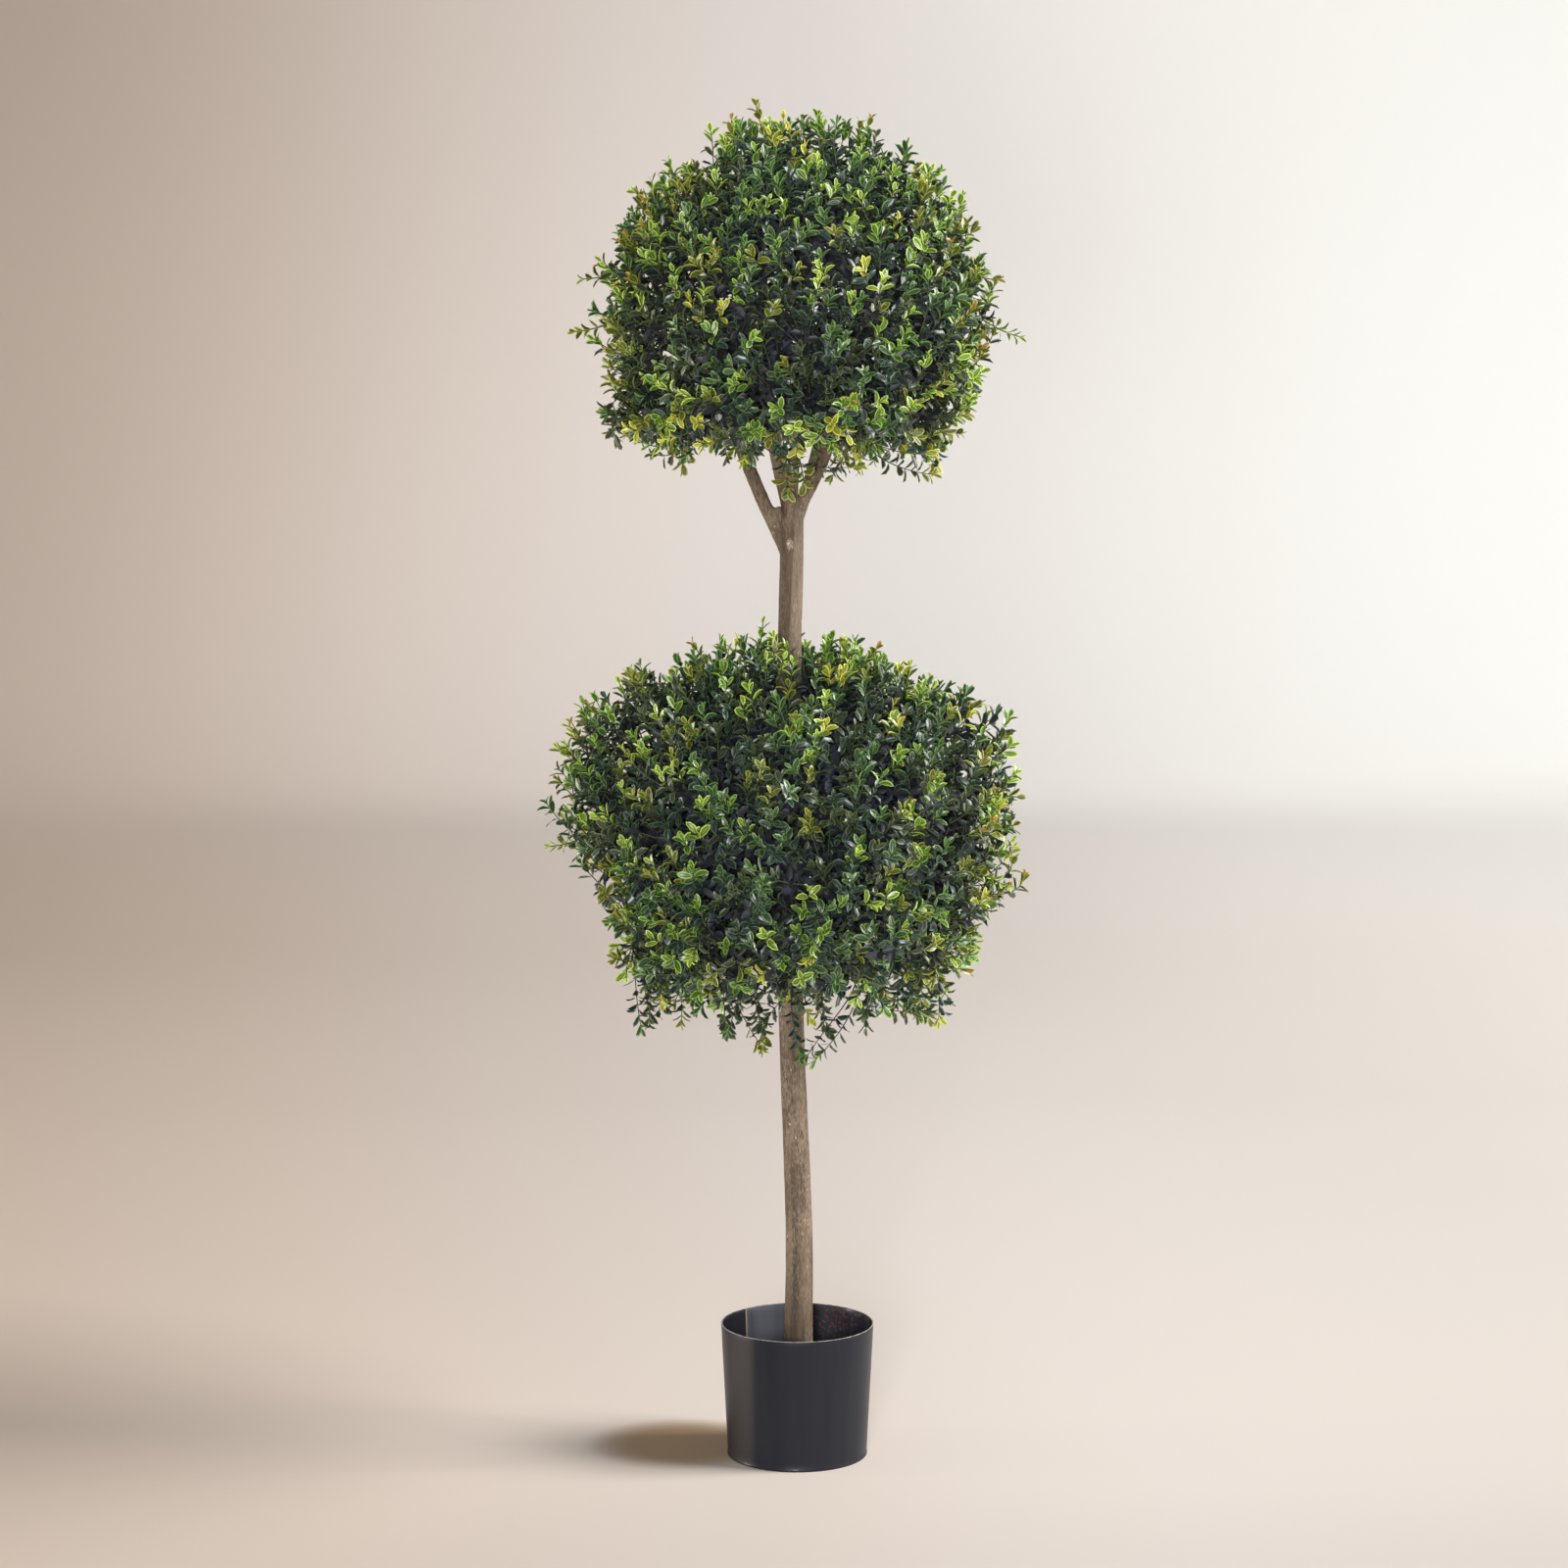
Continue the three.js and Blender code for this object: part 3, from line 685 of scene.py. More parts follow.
balls = {
    "lower": {
        "middle": (-0.008, 0, 0.738),
        "halfWidth": 0.252,
        "up": 0.193,
        "down": 0.228,
        "drawIn": 0.24,
        "squareness": 6,
        "boughs": 20,
        "branches": 150,
        "sprigs": 1600,
        "innerSprigs": 600,
        "openBelow": 0.65,  # few inner sprigs below this height
        "underCut": 0.17,  # how far tips on the underside lie deeper
        "underThin": 0.25,  # share of them that are left off
        "litFrom": 0.95,  # painted shade: tips that lie deeper than this share of the reach get the dark kinds
        "seed": 15,
        "strays": [
            (-0.285, -0.02, 0.699), (-0.246, 0.06, 0.812), (0.254, -0.01, 0.753), (0.241, -0.05, 0.655),
            (0.213, 0.04, 0.856), (-0.038, -0.03, 0.961), (-0.121, 0.02, 0.93), (0.094, 0.01, 0.926),
            (0.033, -0.02, 0.94),
        ],
        "tresses": [  # each is the middle of the tips, how far they stray from it, and how many they are
            (-0.147, -0.05, 0.513, 0.016, 16), (-0.115, -0.08, 0.53, 0.012, 6),
            (-0.076, -0.1, 0.5, 0.005, 3), (-0.034, -0.06, 0.474, 0.004, 4),
            (0.01, -0.07, 0.466, 0.007, 4), (0.036, -0.06, 0.486, 0.005, 3), (0.076, -0.08, 0.492, 0.008, 4),
            (0.146, -0.05, 0.505, 0.015, 13), (0.1, -0.1, 0.525, 0.012, 6),
            (0.05, 0.12, 0.51, 0.01, 3), (-0.08, 0.12, 0.51, 0.01, 4),
            (0.12, 0.08, 0.515, 0.012, 4), (-0.14, 0.06, 0.515, 0.012, 5), (-0.006, -0.045, 0.525, 0.008, 6),
        ],
        "swells": [  # where the clipped shape bulges or draws in: middle, size and how far
            (-0.2, -0.03, 0.868, 0.085, 0.034), (-0.26, -0.02, 0.79, 0.08, 0.01),
            (-0.205, -0.01, 0.872, 0.025, 0.016), (-0.228, 0, 0.845, 0.03, -0.02),
            (-0.08, 0, 0.925, 0.04, -0.012),
            (-0.235, 0, 0.65, 0.05, -0.03), (-0.225, 0.06, 0.65, 0.05, -0.025),
            (-0.225, -0.06, 0.65, 0.05, -0.025), (-0.18, 0, 0.55, 0.05, -0.03),
            (0.25, 0, 0.72, 0.1, 0.012), (0.17, 0, 0.9, 0.05, -0.01), (0.2, -0.01, 0.842, 0.042, 0.036),
            (0.22, 0, 0.59, 0.05, 0.006), (0.2, 0, 0.56, 0.045, 0.02),
        ],
        "yellow": [
            (-0.16, -0.1, 0.53, 0.05), (0.14, -0.1, 0.53, 0.04), (-0.06, -0.14, 0.52, 0.05),
            (0.04, -0.08, 0.92, 0.035),
        ],
    },
    "upper": {
        "middle": (-0.004, 0, 1.3),
        "halfWidth": 0.211,
        "up": 0.206,
        "down": 0.168,
        "drawIn": 0.06,
        "squareness": 6,
        "boughs": 16,
        "branches": 115,
        "sprigs": 1180,
        "innerSprigs": 130,
        "openBelow": 1.18,
        "underCut": 0.07,
        "underThin": 0.4,
        "litFrom": 0.93,
        "seed": 45,
        "strays": [
            (-0.253, -0.02, 1.268), (-0.245, 0.01, 1.324), (0.253, -0.01, 1.26), (0.231, 0.03, 1.322),
            (-0.047, -0.02, 1.524), (-0.073, 0.01, 1.51), (0.083, 0, 1.508), (0.164, 0.02, 1.448),
            (-0.186, 0, 1.426), (-0.163, -0.04, 1.131), (-0.12, -0.02, 1.455), (-0.195, -0.03, 1.15),
        ],
        "forkSprigs": [(-0.011, -0.064, 1.098), (0.007, -0.06, 1.107)],
        "tresses": [
            (0.143, -0.06, 1.114, 0.009, 4), (0.15, -0.03, 1.12, 0.013, 6),
            (-0.058, -0.05, 1.122, 0.008, 5), (0.062, -0.05, 1.12, 0.009, 5), (0.0, -0.06, 1.118, 0.01, 4),
            (-0.13, -0.04, 1.131, 0.012, 8),
            (-0.085, -0.09, 1.135, 0.012, 6), (0.04, 0.13, 1.112, 0.02, 10), (-0.08, 0.1, 1.125, 0.02, 10),
            (0.07, -0.1, 1.135, 0.014, 6), (0.1, 0.07, 1.12, 0.018, 8), (-0.13, 0.05, 1.135, 0.014, 6),
            (-0.186, -0.04, 1.15, 0.007, 4),
        ],
        "swells": [
            (-0.215, 0, 1.29, 0.06, 0.01), (0.22, 0, 1.31, 0.06, 0.006), (0.15, -0.03, 1.14, 0.06, 0.012),
            (-0.1, -0.01, 1.46, 0.045, 0.006), (0.09, 0, 1.478, 0.03, 0.012),
            (-0.15, 0, 1.43, 0.04, -0.008), (-0.19, 0, 1.385, 0.035, -0.012), (-0.21, 0, 1.25, 0.03, -0.008),
            (-0.17, -0.02, 1.15, 0.05, 0.04), (0.0, -0.04, 1.13, 0.08, 0.014),
        ],
        "yellow": [
            (-0.2, -0.05, 1.33, 0.04), (-0.13, -0.15, 1.31, 0.035), (-0.12, -0.13, 1.15, 0.045),
            (0.0, -0.05, 1.5, 0.045), (-0.19, -0.06, 1.16, 0.04), (0.1, -0.16, 1.24, 0.03),
        ],
    },
}
growth = {
    "boughReach": 0.5,  # share of the ball's reach at which each kind of limb ends
    "branchReach": 0.74,
    "stemInside": (0.56, 0.88),  # heights between which boughs leave the stem
    "linePoints": (120, 40),  # along the stem and along each limb
    "limbsFrom": 26,  # the point on each limb from which boughs leave it
    "limbTurn": 0.2,  # how far round the axis boughs and branches end by chance
    "limbStray": 0.18,  # and how much their own directions differ
    "bend": (0.3, 0.42),  # how straight limbs and twigs leave and arrive
    "farthest": 1.07,  # share of the reach at which the outermost tips end
    "tipChance": 0.15,  # how far below that the tips end by chance
    "tipHollow": 0.2,  # and in the hollows between clumps
    "hollowSize": 0.036,
    "hollowGain": (1.5, 0.05),  # hollow is noise times the first, less the second
    "underFrom": 0.7,  # share of the depth at which the underside starts
    "underRise": 0.25,  # and over which it comes in
    "innerReach": (0.4, 0.75),
    "innerTurn": 0.1,  # limbTurn and limbStray of the inner sprigs
    "innerStray": 0.5,
    "openShare": 0.15,  # of the inner sprigs that grow below openBelow
    "lean": 0.16,  # how far a tip strays sideways, as a share of the half width
    "lift": 1.15,  # how much sprigs turn up
    "stray": 0.36,  # how much a sprig's own direction differs from straight out
    "tressWay": (0.2, (0, 0, -0.8)),  # how much hanging sprigs point outwards, and down
    "tressStray": 0.35,
    "tressShorter": 0.025,  # how much shorter some hang
    "tressWidest": 1.6,  # tips stray no farther than this many times their spread
    "strayLean": 0.02,  # how far the single sprigs' ways out differ, in metres
    "forkLean": 0.01,
    "leafyShare": 0.96,  # of a twig's length, which may bear leaves
    "woodRadii": (0.0145, 0.008),  # of the stem and the limbs, for the leaves that keep clear of them
    "clearOfWood": 0.004,
    "patchSize": 0.05,  # of patches of bright and of dark sprigs
    "patchShares": (0.6, 0.5),  # of noise and of chance in how bright a sprig is
    "litChance": 0.025,  # how far chance shifts litFrom
    "turnSize": 0.011,  # of the spots in which green and olive sprigs change places
    "turnFrom": 0.05,  # value of the noise above which they do
    "greenWithin": 0.45,  # share of the half width within which olive sprigs may turn green
    "oliveBeyond": (-0.4, 0.8),  # and left and right beyond which green ones may turn olive
    "rustyBeyond": (0.75, 0.95),  # shares of the half width and the reach beyond which tips may be rusty
    "rustyChance": 0.16,
    "yellowChance": 0.55,
    "strayKinds": {"olive": 0.25, "mid": 0.25, "fresh": 0.25, "rusty": 0.25},
    "tressKinds": {"dusk": 0.25, "deep": 0.25, "olive": 0.25, "mid": 0.05, "lime": 0.1, "rusty": 0.1},
}
# Each kind of wood gives how far behind its end it aims to leave its parent, the share of the parent that it
# leaves free, how far short of the sprig's tip it ends, the points along it, the sides and both radii of its
# tube, if its outer half is young, and its slot.
usual = {"freeFrom": 0.25, "short": 0, "radii": (0.0011, 0.0006), "young": False, "slot": "foliage"}
woods = {
    "boughs": {**usual, "back": 0.09, "freeFrom": 0.0, "steps": 12, "sides": 7, "radii": (0.0042, 0.0024),
               "slot": "bark"},
    "branches": {**usual, "back": 0.05, "steps": 10, "sides": 5, "radii": (0.0021, 0.0011)},
    "twigs": {**usual, "back": 0.07, "short": 0.011, "steps": 9, "sides": 3, "young": True},
    "strayTwigs": {**usual, "back": 0.09, "short": 0.0105, "steps": 12, "sides": 4, "young": True},
    "forkTwigs": {**usual, "back": 0.05, "steps": 12},  # joined to strayTwigs
    "innerTwigs": {**usual, "back": 0.05, "freeFrom": 0.0, "short": 0.016, "steps": 6, "sides": 3,
                   "young": True},
    "tresses": {**usual, "back": 0.1, "steps": 14, "sides": 4, "radii": (0.001, 0.0004)},
}
# Each habit gives the leaf pairs back from the tip, how far they open from the twig in degrees, and
# their length.
habits = {
    "outer": {
        "pairsFromTip": (0.001, 0.007, 0.0145, 0.023, 0.033, 0.044, 0.056),
        "opening": (18, 34, 48, 57, 63, 67, 70),
        "length": (0.0115, 0.016, 0.0175, 0.0175, 0.0175, 0.018, 0.018),
        "litPairs": 3,  # pairs beyond these get the dark kinds, painted shade
        "rimPairs": 5,  # and beyond these they are plain
        "slimness": 0.46,
    },
    "stray": {
        "pairsFromTip": (0.001, 0.0085, 0.017, 0.026, 0.036, 0.047, 0.059, 0.072),
        "opening": (20, 36, 46, 52, 57, 62, 66, 68),
        "length": (0.0105, 0.0135, 0.015, 0.0155, 0.0155, 0.016, 0.016, 0.016),
        "litPairs": 5,
        "rimPairs": 8,
        "slimness": 0.5,
    },
    "tress": {
        "pairsFromTip": (0.001, 0.006, 0.0115, 0.0175, 0.024, 0.031, 0.039, 0.048, 0.058),
        "opening": (22, 38, 48, 54, 58, 60, 62, 64, 66),
        "length": (0.0115, 0.0145, 0.0155, 0.016, 0.016, 0.016, 0.0165, 0.017, 0.017),
        "litPairs": 3,
        "rimPairs": 9,
        "slimness": 0.46,
    },
    "round": {
        "pairsFromTip": (0.001, 0.006, 0.013, 0.021, 0.03, 0.04),
        "opening": (35, 55, 68, 76, 76, 76),
        "length": (0.016, 0.018, 0.018, 0.017, 0.017, 0.017),
        "litPairs": 4,
        "rimPairs": 6,
        "slimness": 0.6,
    },
    "inner": {
        "pairsFromTip": (0.001, 0.009, 0.018, 0.028, 0.038, 0.05, 0.063),
        "opening": (25, 45, 58, 66, 70, 74, 76),
        "length": (0.017, 0.018, 0.019, 0.019, 0.019, 0.019, 0.019),
        "litPairs": 0,
        "rimPairs": 0,
        "slimness": 0.5,
    },
}
leafShape = {
    "rim": 0.0013,
    "rib": 0.0004,
    "cup": (0.15, 0.8),
    "curl": (-0.25, 0.95),
    "leastCurl": 0.02,
    "litCorners": (0.2, 0.52, 0.84),  # where along the blade the outline has corners
    "darkCorners": (0.34, 0.76),
    "innerCorners": (0.3, 0.72),
}
leafChance = {  # how much leaves differ by chance
    "spacing": (0.85, 1.15),
    "shift": 0.002,
    "turn": 0.22,
    "opening": 0.14,
    "roll": 0.3,
    "length": (0.82, 1.12),
    "sprigLength": (0.9, 1.08),
    "width": (0.85, 1.12),
}
# Plain colours of blade and rim, from dark to bright, and each kind's share of the lit sprigs
leafKinds = {
    # shade and dusk are painted shade: darker leaves for deep tips and for pairs far back along a sprig
    "shade": {"blade": (36, 43, 49), "rim": (80, 108, 76), "share": 0},
    "dusk": {"blade": (43, 46, 45), "rim": (94, 112, 60), "share": 0},
    "deep": {"blade": (36, 58, 38), "rim": (106, 144, 70), "share": 0.36},
    "olive": {"blade": (76, 84, 30), "rim": (156, 164, 64), "share": 0.19},
    "mid": {"blade": (60, 92, 32), "rim": (152, 188, 76), "share": 0.25},
    "fresh": {"blade": (90, 122, 38), "rim": (192, 216, 98), "share": 0.16},
    "lime": {"blade": (134, 142, 38), "rim": (216, 218, 100), "share": 0.04},
    "rusty": {"blade": (120, 98, 36), "rim": (172, 146, 60), "share": 0},
}
kindNames = list(leafKinds)
darkKinds = 2  # shade and dusk, the painted shade, come first
plainKind = len(leafKinds)  # leaves without a rim, deep inside
# Painted shade and light: near inner leaves dark and bluish, the deepest paler to stand in for light reaching
# in
innerLeaves = {"near": (40, 44, 49), "deep": (76, 80, 94)}
deepFrom = 0.66  # share of the reach below which inner leaves are of the deep, paler kind, painted light
twigColours = {"young": (62, 74, 44), "old": (54, 50, 55)}
goldenAngle = math.pi * (3 - math.sqrt(5))


def onBall(ball, latitude, azimuth, scale=1.0):
    # Above the middle it is half an ellipsoid. Below, the sides draw in and turn under squarely.
    rise = np.sin(latitude)
    depth = np.maximum(0, -rise)
    under = (1 - ball["drawIn"] * depth) * (1 - depth ** ball["squareness"]) ** (1 / ball["squareness"])
    radius = ball["halfWidth"] * np.where(rise >= 0, np.cos(latitude), under) * scale
    z = np.where(rise >= 0, ball["up"], ball["down"]) * rise * scale
    return np.stack([radius * np.cos(azimuth), radius * np.sin(azimuth), z], axis=-1) + ball["middle"]


def shareOfReach(ball, points):
    # The scale at which the ball's surface would pass through each point. Below the middle it takes rounds.
    away = points - np.array(ball["middle"])
    wide = np.linalg.norm(away[..., :2], axis=-1) / ball["halfWidth"]
    rise = np.maximum(0, away[..., 2]) / ball["up"]
    depth = np.maximum(0, -away[..., 2]) / ball["down"]
    power = ball["squareness"]
    share = np.maximum(wide, depth) + 1e-6
    for _ in range(4):
        sides = wide / (1 - ball["drawIn"] * np.minimum(1, depth / share))
        share = (sides**power + depth**power) ** (1 / power) + 1e-6
    return np.where(away[..., 2] >= 0, np.hypot(wide, rise), share)


def evenDirections(ball, count):
    # Latitudes that share the surface evenly among the rings, and azimuths a golden angle apart.
    steps = np.linspace(np.pi / 2, -np.pi / 2, 401)
    line = onBall(ball, steps, np.zeros_like(steps)) - ball["middle"]
    area = (line[1:, 0] + line[:-1, 0]) * np.linalg.norm(np.diff(line, axis=0), axis=1)
    total = np.concatenate([[0], np.cumsum(area)])
    wanted = (np.arange(count) + 0.5) / count * total[-1]
    return np.interp(wanted, total, steps), np.arange(count) * goldenAngle


def bend(start, leave, arrive, end, steps):
    # Cubic curve from start to end that sets off along leave and comes in along arrive.
    t = np.linspace(0, 1, steps)[None, :, None]
    first, last = (start + leave)[:, None], (end - arrive)[:, None]
    return (
        (1 - t) ** 3 * start[:, None] + 3 * (1 - t) ** 2 * t * first
        + 3 * (1 - t) * t**2 * last + t**3 * end[:, None]
    )


def growOn(parents, tips, arriving, kind):
    # Each new limb leaves the parent's spot nearest to a point that lies wood["back"] behind its own end.
    wood = woods[kind]
    first = int(parents.shape[1] * wood["freeFrom"])
    spots = parents[:, first:].reshape(-1, 3)
    along = unit(np.gradient(parents, axis=1))[:, first:].reshape(-1, 3)
    ends = tips - arriving * wood["short"]
    wanted = ends - arriving * wood["back"]
    nearest = np.linalg.norm(wanted[:, None] - spots[None], axis=-1).argmin(axis=1)
    start = spots[nearest]
    length = np.linalg.norm(ends - start, axis=1, keepdims=True)
    leave, arrive = growth["bend"]
    return bend(start, along[nearest] * length * leave, arriving * length * arrive, ends, wood["steps"])


def strayed(directions, spread, random):  # each turned its own way by chance
    return unit(directions + random.normal(0, spread, directions.shape))


def limbEnds(ball, count, reach, random):
    latitude, azimuth = evenDirections(ball, count)
    azimuth = azimuth + random.uniform(-growth["limbTurn"], growth["limbTurn"], count)
    ends = onBall(ball, latitude, azimuth, reach)
    outward = unit(ends - ball["middle"])
    outward[:, 2] += growth["lift"] / 2
    return ends, strayed(outward, growth["limbStray"], random)


def sprigTips(ball, random):
    # The tips of the source's rule, finer: even over the ball, each leaning its own way, and sunk by
    # reach = farthest - tipChance * chance - tipHollow * hollow - underCut * under, where hollow is smooth
    # noise over the ball and under is 1 on its underside.
    count = ball["sprigs"]
    latitude, azimuth = evenDirections(ball, count)
    surface = onBall(ball, latitude, azimuth)
    gain, less = growth["hollowGain"]
    hollow = np.clip(smoothNoise(surface / growth["hollowSize"], ball["seed"]) * gain - less, 0, 1)
    under = np.clip((-np.sin(latitude) - growth["underFrom"]) / growth["underRise"], 0, 1)
    reach = growth["farthest"] - growth["tipChance"] * random.uniform(0, 1, count)
    reach -= growth["tipHollow"] * hollow + ball["underCut"] * under
    middle = np.array(ball["middle"])
    straight = (surface - middle) * reach[:, None]
    length = np.linalg.norm(straight, axis=1, keepdims=True)
    lean = random.uniform(-1, 1, straight.shape) * growth["lean"] * ball["halfWidth"] * 0.5
    away = unit(straight + lean) * length
    tips = middle + away / np.maximum(1, shareOfReach(ball, middle + away) / reach)[:, None]
    outward = unit(tips - middle)
    for x, y, z, size, push in ball["swells"]:
        near = np.linalg.norm(tips - (x, y, z), axis=1, keepdims=True) / size
        tips = tips + outward * push * np.exp(-(near**2))
    outward[:, 2] += growth["lift"] * np.clip(1.2 + 1.4 * outward[:, 2], 0, 1)  # none on the underside
    outward = strayed(outward, growth["stray"], random)
    kept = random.uniform(0, 1, count) > under * ball["underThin"]
    return tips[kept], outward[kept], reach[kept]


def innerTips(ball, random):
    count = ball["innerSprigs"]
    latitude, azimuth = evenDirections(ball, count)
    reach = random.uniform(*growth["innerReach"], count)
    azimuth = azimuth + random.uniform(-growth["innerTurn"], growth["innerTurn"], count)
    tips = onBall(ball, latitude, azimuth, reach)
    tips = tips[(tips[:, 2] > ball["openBelow"]) | (random.uniform(0, 1, count) < growth["openShare"])]
    return tips, strayed(unit(tips - ball["middle"]), growth["innerStray"], random)


def tressTips(ball, random):
    # The tips of the sprigs that hang out of the underside, and their way there: down and slightly outwards.
    spot = np.array(ball["tresses"])
    middles = np.repeat(spot[:, :3], spot[:, 4].astype(int), axis=0)
    spread = np.repeat(spot[:, 3], spot[:, 4].astype(int))[:, None]
    widest, (out, down) = growth["tressWidest"], growth["tressWay"]
    tips = middles + np.clip(random.normal(0, 1, middles.shape), -widest, widest) * spread
    tips[:, 2] += np.abs(random.normal(0, growth["tressShorter"], len(tips)))
    away = unit((tips - ball["middle"]) * (1, 1, 0)) * out
    return tips, strayed(away + down, growth["tressStray"], random)


def dealKinds(ball, tips, reach, random):
    # Patches of noise put bright next to bright: kinds go by rank of noise + chance. In small spots, green
    # takes olive's place near the middle, and olive takes green's towards the sides. Deep tips get the dark
    # kinds, as painted shade.
    smooth, chance = growth["patchShares"]
    value = smoothNoise(tips / growth["patchSize"], ball["seed"] + 7) * smooth
    value += random.normal(0, chance, len(tips))
    rank = (value.argsort().argsort() + 0.5) / len(value)
    shares = np.cumsum([kind["share"] for kind in leafKinds.values()])
    kinds = np.searchsorted(shares / shares[-1], rank)
    for x, y, z, size in ball["yellow"]:
        near = np.linalg.norm(tips - (x, y, z), axis=1) < size
        chosen = near & (random.uniform(0, 1, len(tips)) < growth["yellowChance"])
        kinds = np.where(chosen, kindNames.index("lime"), kinds)
    aside = (tips - ball["middle"])[:, 0] / ball["halfWidth"]
    green, olive = kindNames.index("deep"), kindNames.index("olive")
    turns = smoothNoise(tips / growth["turnSize"], ball["seed"] + 9) > growth["turnFrom"]
    wasGreen, wasOlive = kinds == green, kinds == olive
    left, right = growth["oliveBeyond"]
    kinds = np.where(wasOlive & turns & (np.abs(aside) < growth["greenWithin"]), green, kinds)
    kinds = np.where(wasGreen & turns & ((aside < left) | (aside > right)), olive, kinds)
    outermost = (np.abs(aside) > growth["rustyBeyond"][0]) & (reach > growth["rustyBeyond"][1])
    rusty = outermost & (random.uniform(0, 1, len(tips)) < growth["rustyChance"])
    kinds = np.where(rusty, kindNames.index("rusty"), kinds)
    # Painted shade: deeper tips get the dark kinds.
    dark = reach + random.normal(0, growth["litChance"], len(tips)) < ball["litFrom"]
    return np.where(dark, random.integers(0, darkKinds, len(tips)), kinds)


def spotsFromTip(paths, back):
    # Points at given lengths back from each path's end, the direction there, and if the path is that long.
    steps = paths[:, ::-1]
    gone = np.cumsum(np.linalg.norm(np.diff(steps, axis=1), axis=-1), axis=1)
    gone = np.concatenate([np.zeros((len(paths), 1)), gone], axis=1)
    after = (gone[:, None, :] < back[:, :, None]).sum(axis=-1).clip(1, paths.shape[1] - 1)
    row = np.arange(len(paths))[:, None]
    low, high = gone[row, after - 1], gone[row, after]
    share = ((back - low) / (high - low))[..., None].clip(0, 1)
    spots = steps[row, after - 1] * (1 - share) + steps[row, after] * share
    along = unit(steps[row, after - 1] - steps[row, after])
    return spots, along, back < gone[:, -1:] * growth["leafyShare"]


def leavesOn(paths, kinds, habit, random):
    # Opposite pairs, each a quarter turn on from the last, as arrays of place, axes and sizes of every leaf.
    back = np.array(habit["pairsFromTip"])
    count, pairs = len(paths), len(back)
    back = back[None] * random.uniform(*leafChance["spacing"], (count, 1))
    back = back + random.uniform(0, leafChance["shift"], (count, pairs))
    spots, along, there = spotsFromTip(paths, back)
    sideways = random.normal(0, 1, (count, 1, 3))
    sideways = unit(sideways - dot(sideways, along) * along)
    across = np.cross(along, sideways)
    turn = np.arange(pairs) * np.pi / 2 + random.normal(0, leafChance["turn"], (count, pairs))
    spoke = np.cos(turn)[..., None] * sideways + np.sin(turn)[..., None] * across
    spoke = np.stack([spoke, -spoke], axis=2)
    size = (count, pairs, 2)
    along = np.broadcast_to(along[:, :, None], spoke.shape)
    opening = np.radians(np.array(habit["opening"]))[None, :, None]
    opening = opening + random.normal(0, leafChance["opening"], size)
    ahead = np.cos(opening)[..., None] * along + np.sin(opening)[..., None] * spoke
    upper = np.sin(opening)[..., None] * along - np.cos(opening)[..., None] * spoke
    roll = random.normal(0, leafChance["roll"], size)[..., None]
    upper = upper * np.cos(roll) + np.cross(ahead, upper) * np.sin(roll)
    length = np.array(habit["length"])[None, :, None] * random.uniform(*leafChance["length"], size)
    length = length * random.uniform(*leafChance["sprigLength"], (count, 1, 1))
    kinds = np.broadcast_to(kinds[:, None, None], size)
    pair = np.broadcast_to(np.arange(pairs)[None, :, None], size)
    kinds = np.where((kinds == kindNames.index("rusty")) & (pair > 0), kindNames.index("olive"), kinds)
    # Painted shade: pairs beyond litPairs take the dark kind.
    lit = (pair < habit["litPairs"]) | (kinds < darkKinds)
    leaves = {
        "place": spots[:, :, None] + spoke * woods["twigs"]["radii"][1] * 0.5,
        "ahead": ahead,
        "upper": upper,
        "length": length,
        "width": length * habit["slimness"] * random.uniform(*leafChance["width"], size),
        "cup": random.uniform(*leafShape["cup"], size),
        "curl": random.uniform(*leafShape["curl"], size),
        "kind": np.where(pair >= habit["rimPairs"], plainKind, np.where(lit, kinds, kinds % darkKinds)),
    }
    return pick(leaves, np.broadcast_to(there[:, :, None], size))


def leafTemplate(shares, rim):
    # Corners as share of length and share of half width. The outline runs up one side and down the other.
    shares = np.array(shares)
    half = np.sin(np.pi * shares**1.25) ** 0.55  # a blunt tip, and widest beyond the middle
    u = np.concatenate([[0], shares, [1], shares[::-1]])
    v = np.concatenate([[0], half, [0], -half[::-1]])
    around = len(u)
    ring = np.arange(around)
    after = np.roll(ring, -1)
    if not rim:
        corners = np.stack([np.append(u, 0.5), np.append(v, 0)], axis=1)
        fan = np.stack([np.full(around, around), ring, after], axis=1)
        return corners, None, fan, np.zeros(around, int)
    edges = np.stack([ring, after, after + around, ring + around], axis=1)
    tip = len(shares) + 1
    right, left = np.arange(0, tip), np.arange(tip, around)
    rightHub, leftHub = 2 * around, 2 * around + 1
    fan = np.concatenate([
        np.stack([np.full(len(right), rightHub), right + around, right + around + 1], axis=1),
        np.stack([np.full(len(left), leftHub), left + around, (left + 1) % around + around], axis=1),
        [[around, rightHub, leftHub], [around + tip, leftHub, rightHub]],
    ])
    fanFinish = np.concatenate([np.zeros(len(right) + len(left), int), [1, 1]])
    return np.stack([u, v], axis=1), edges, fan, fanFinish


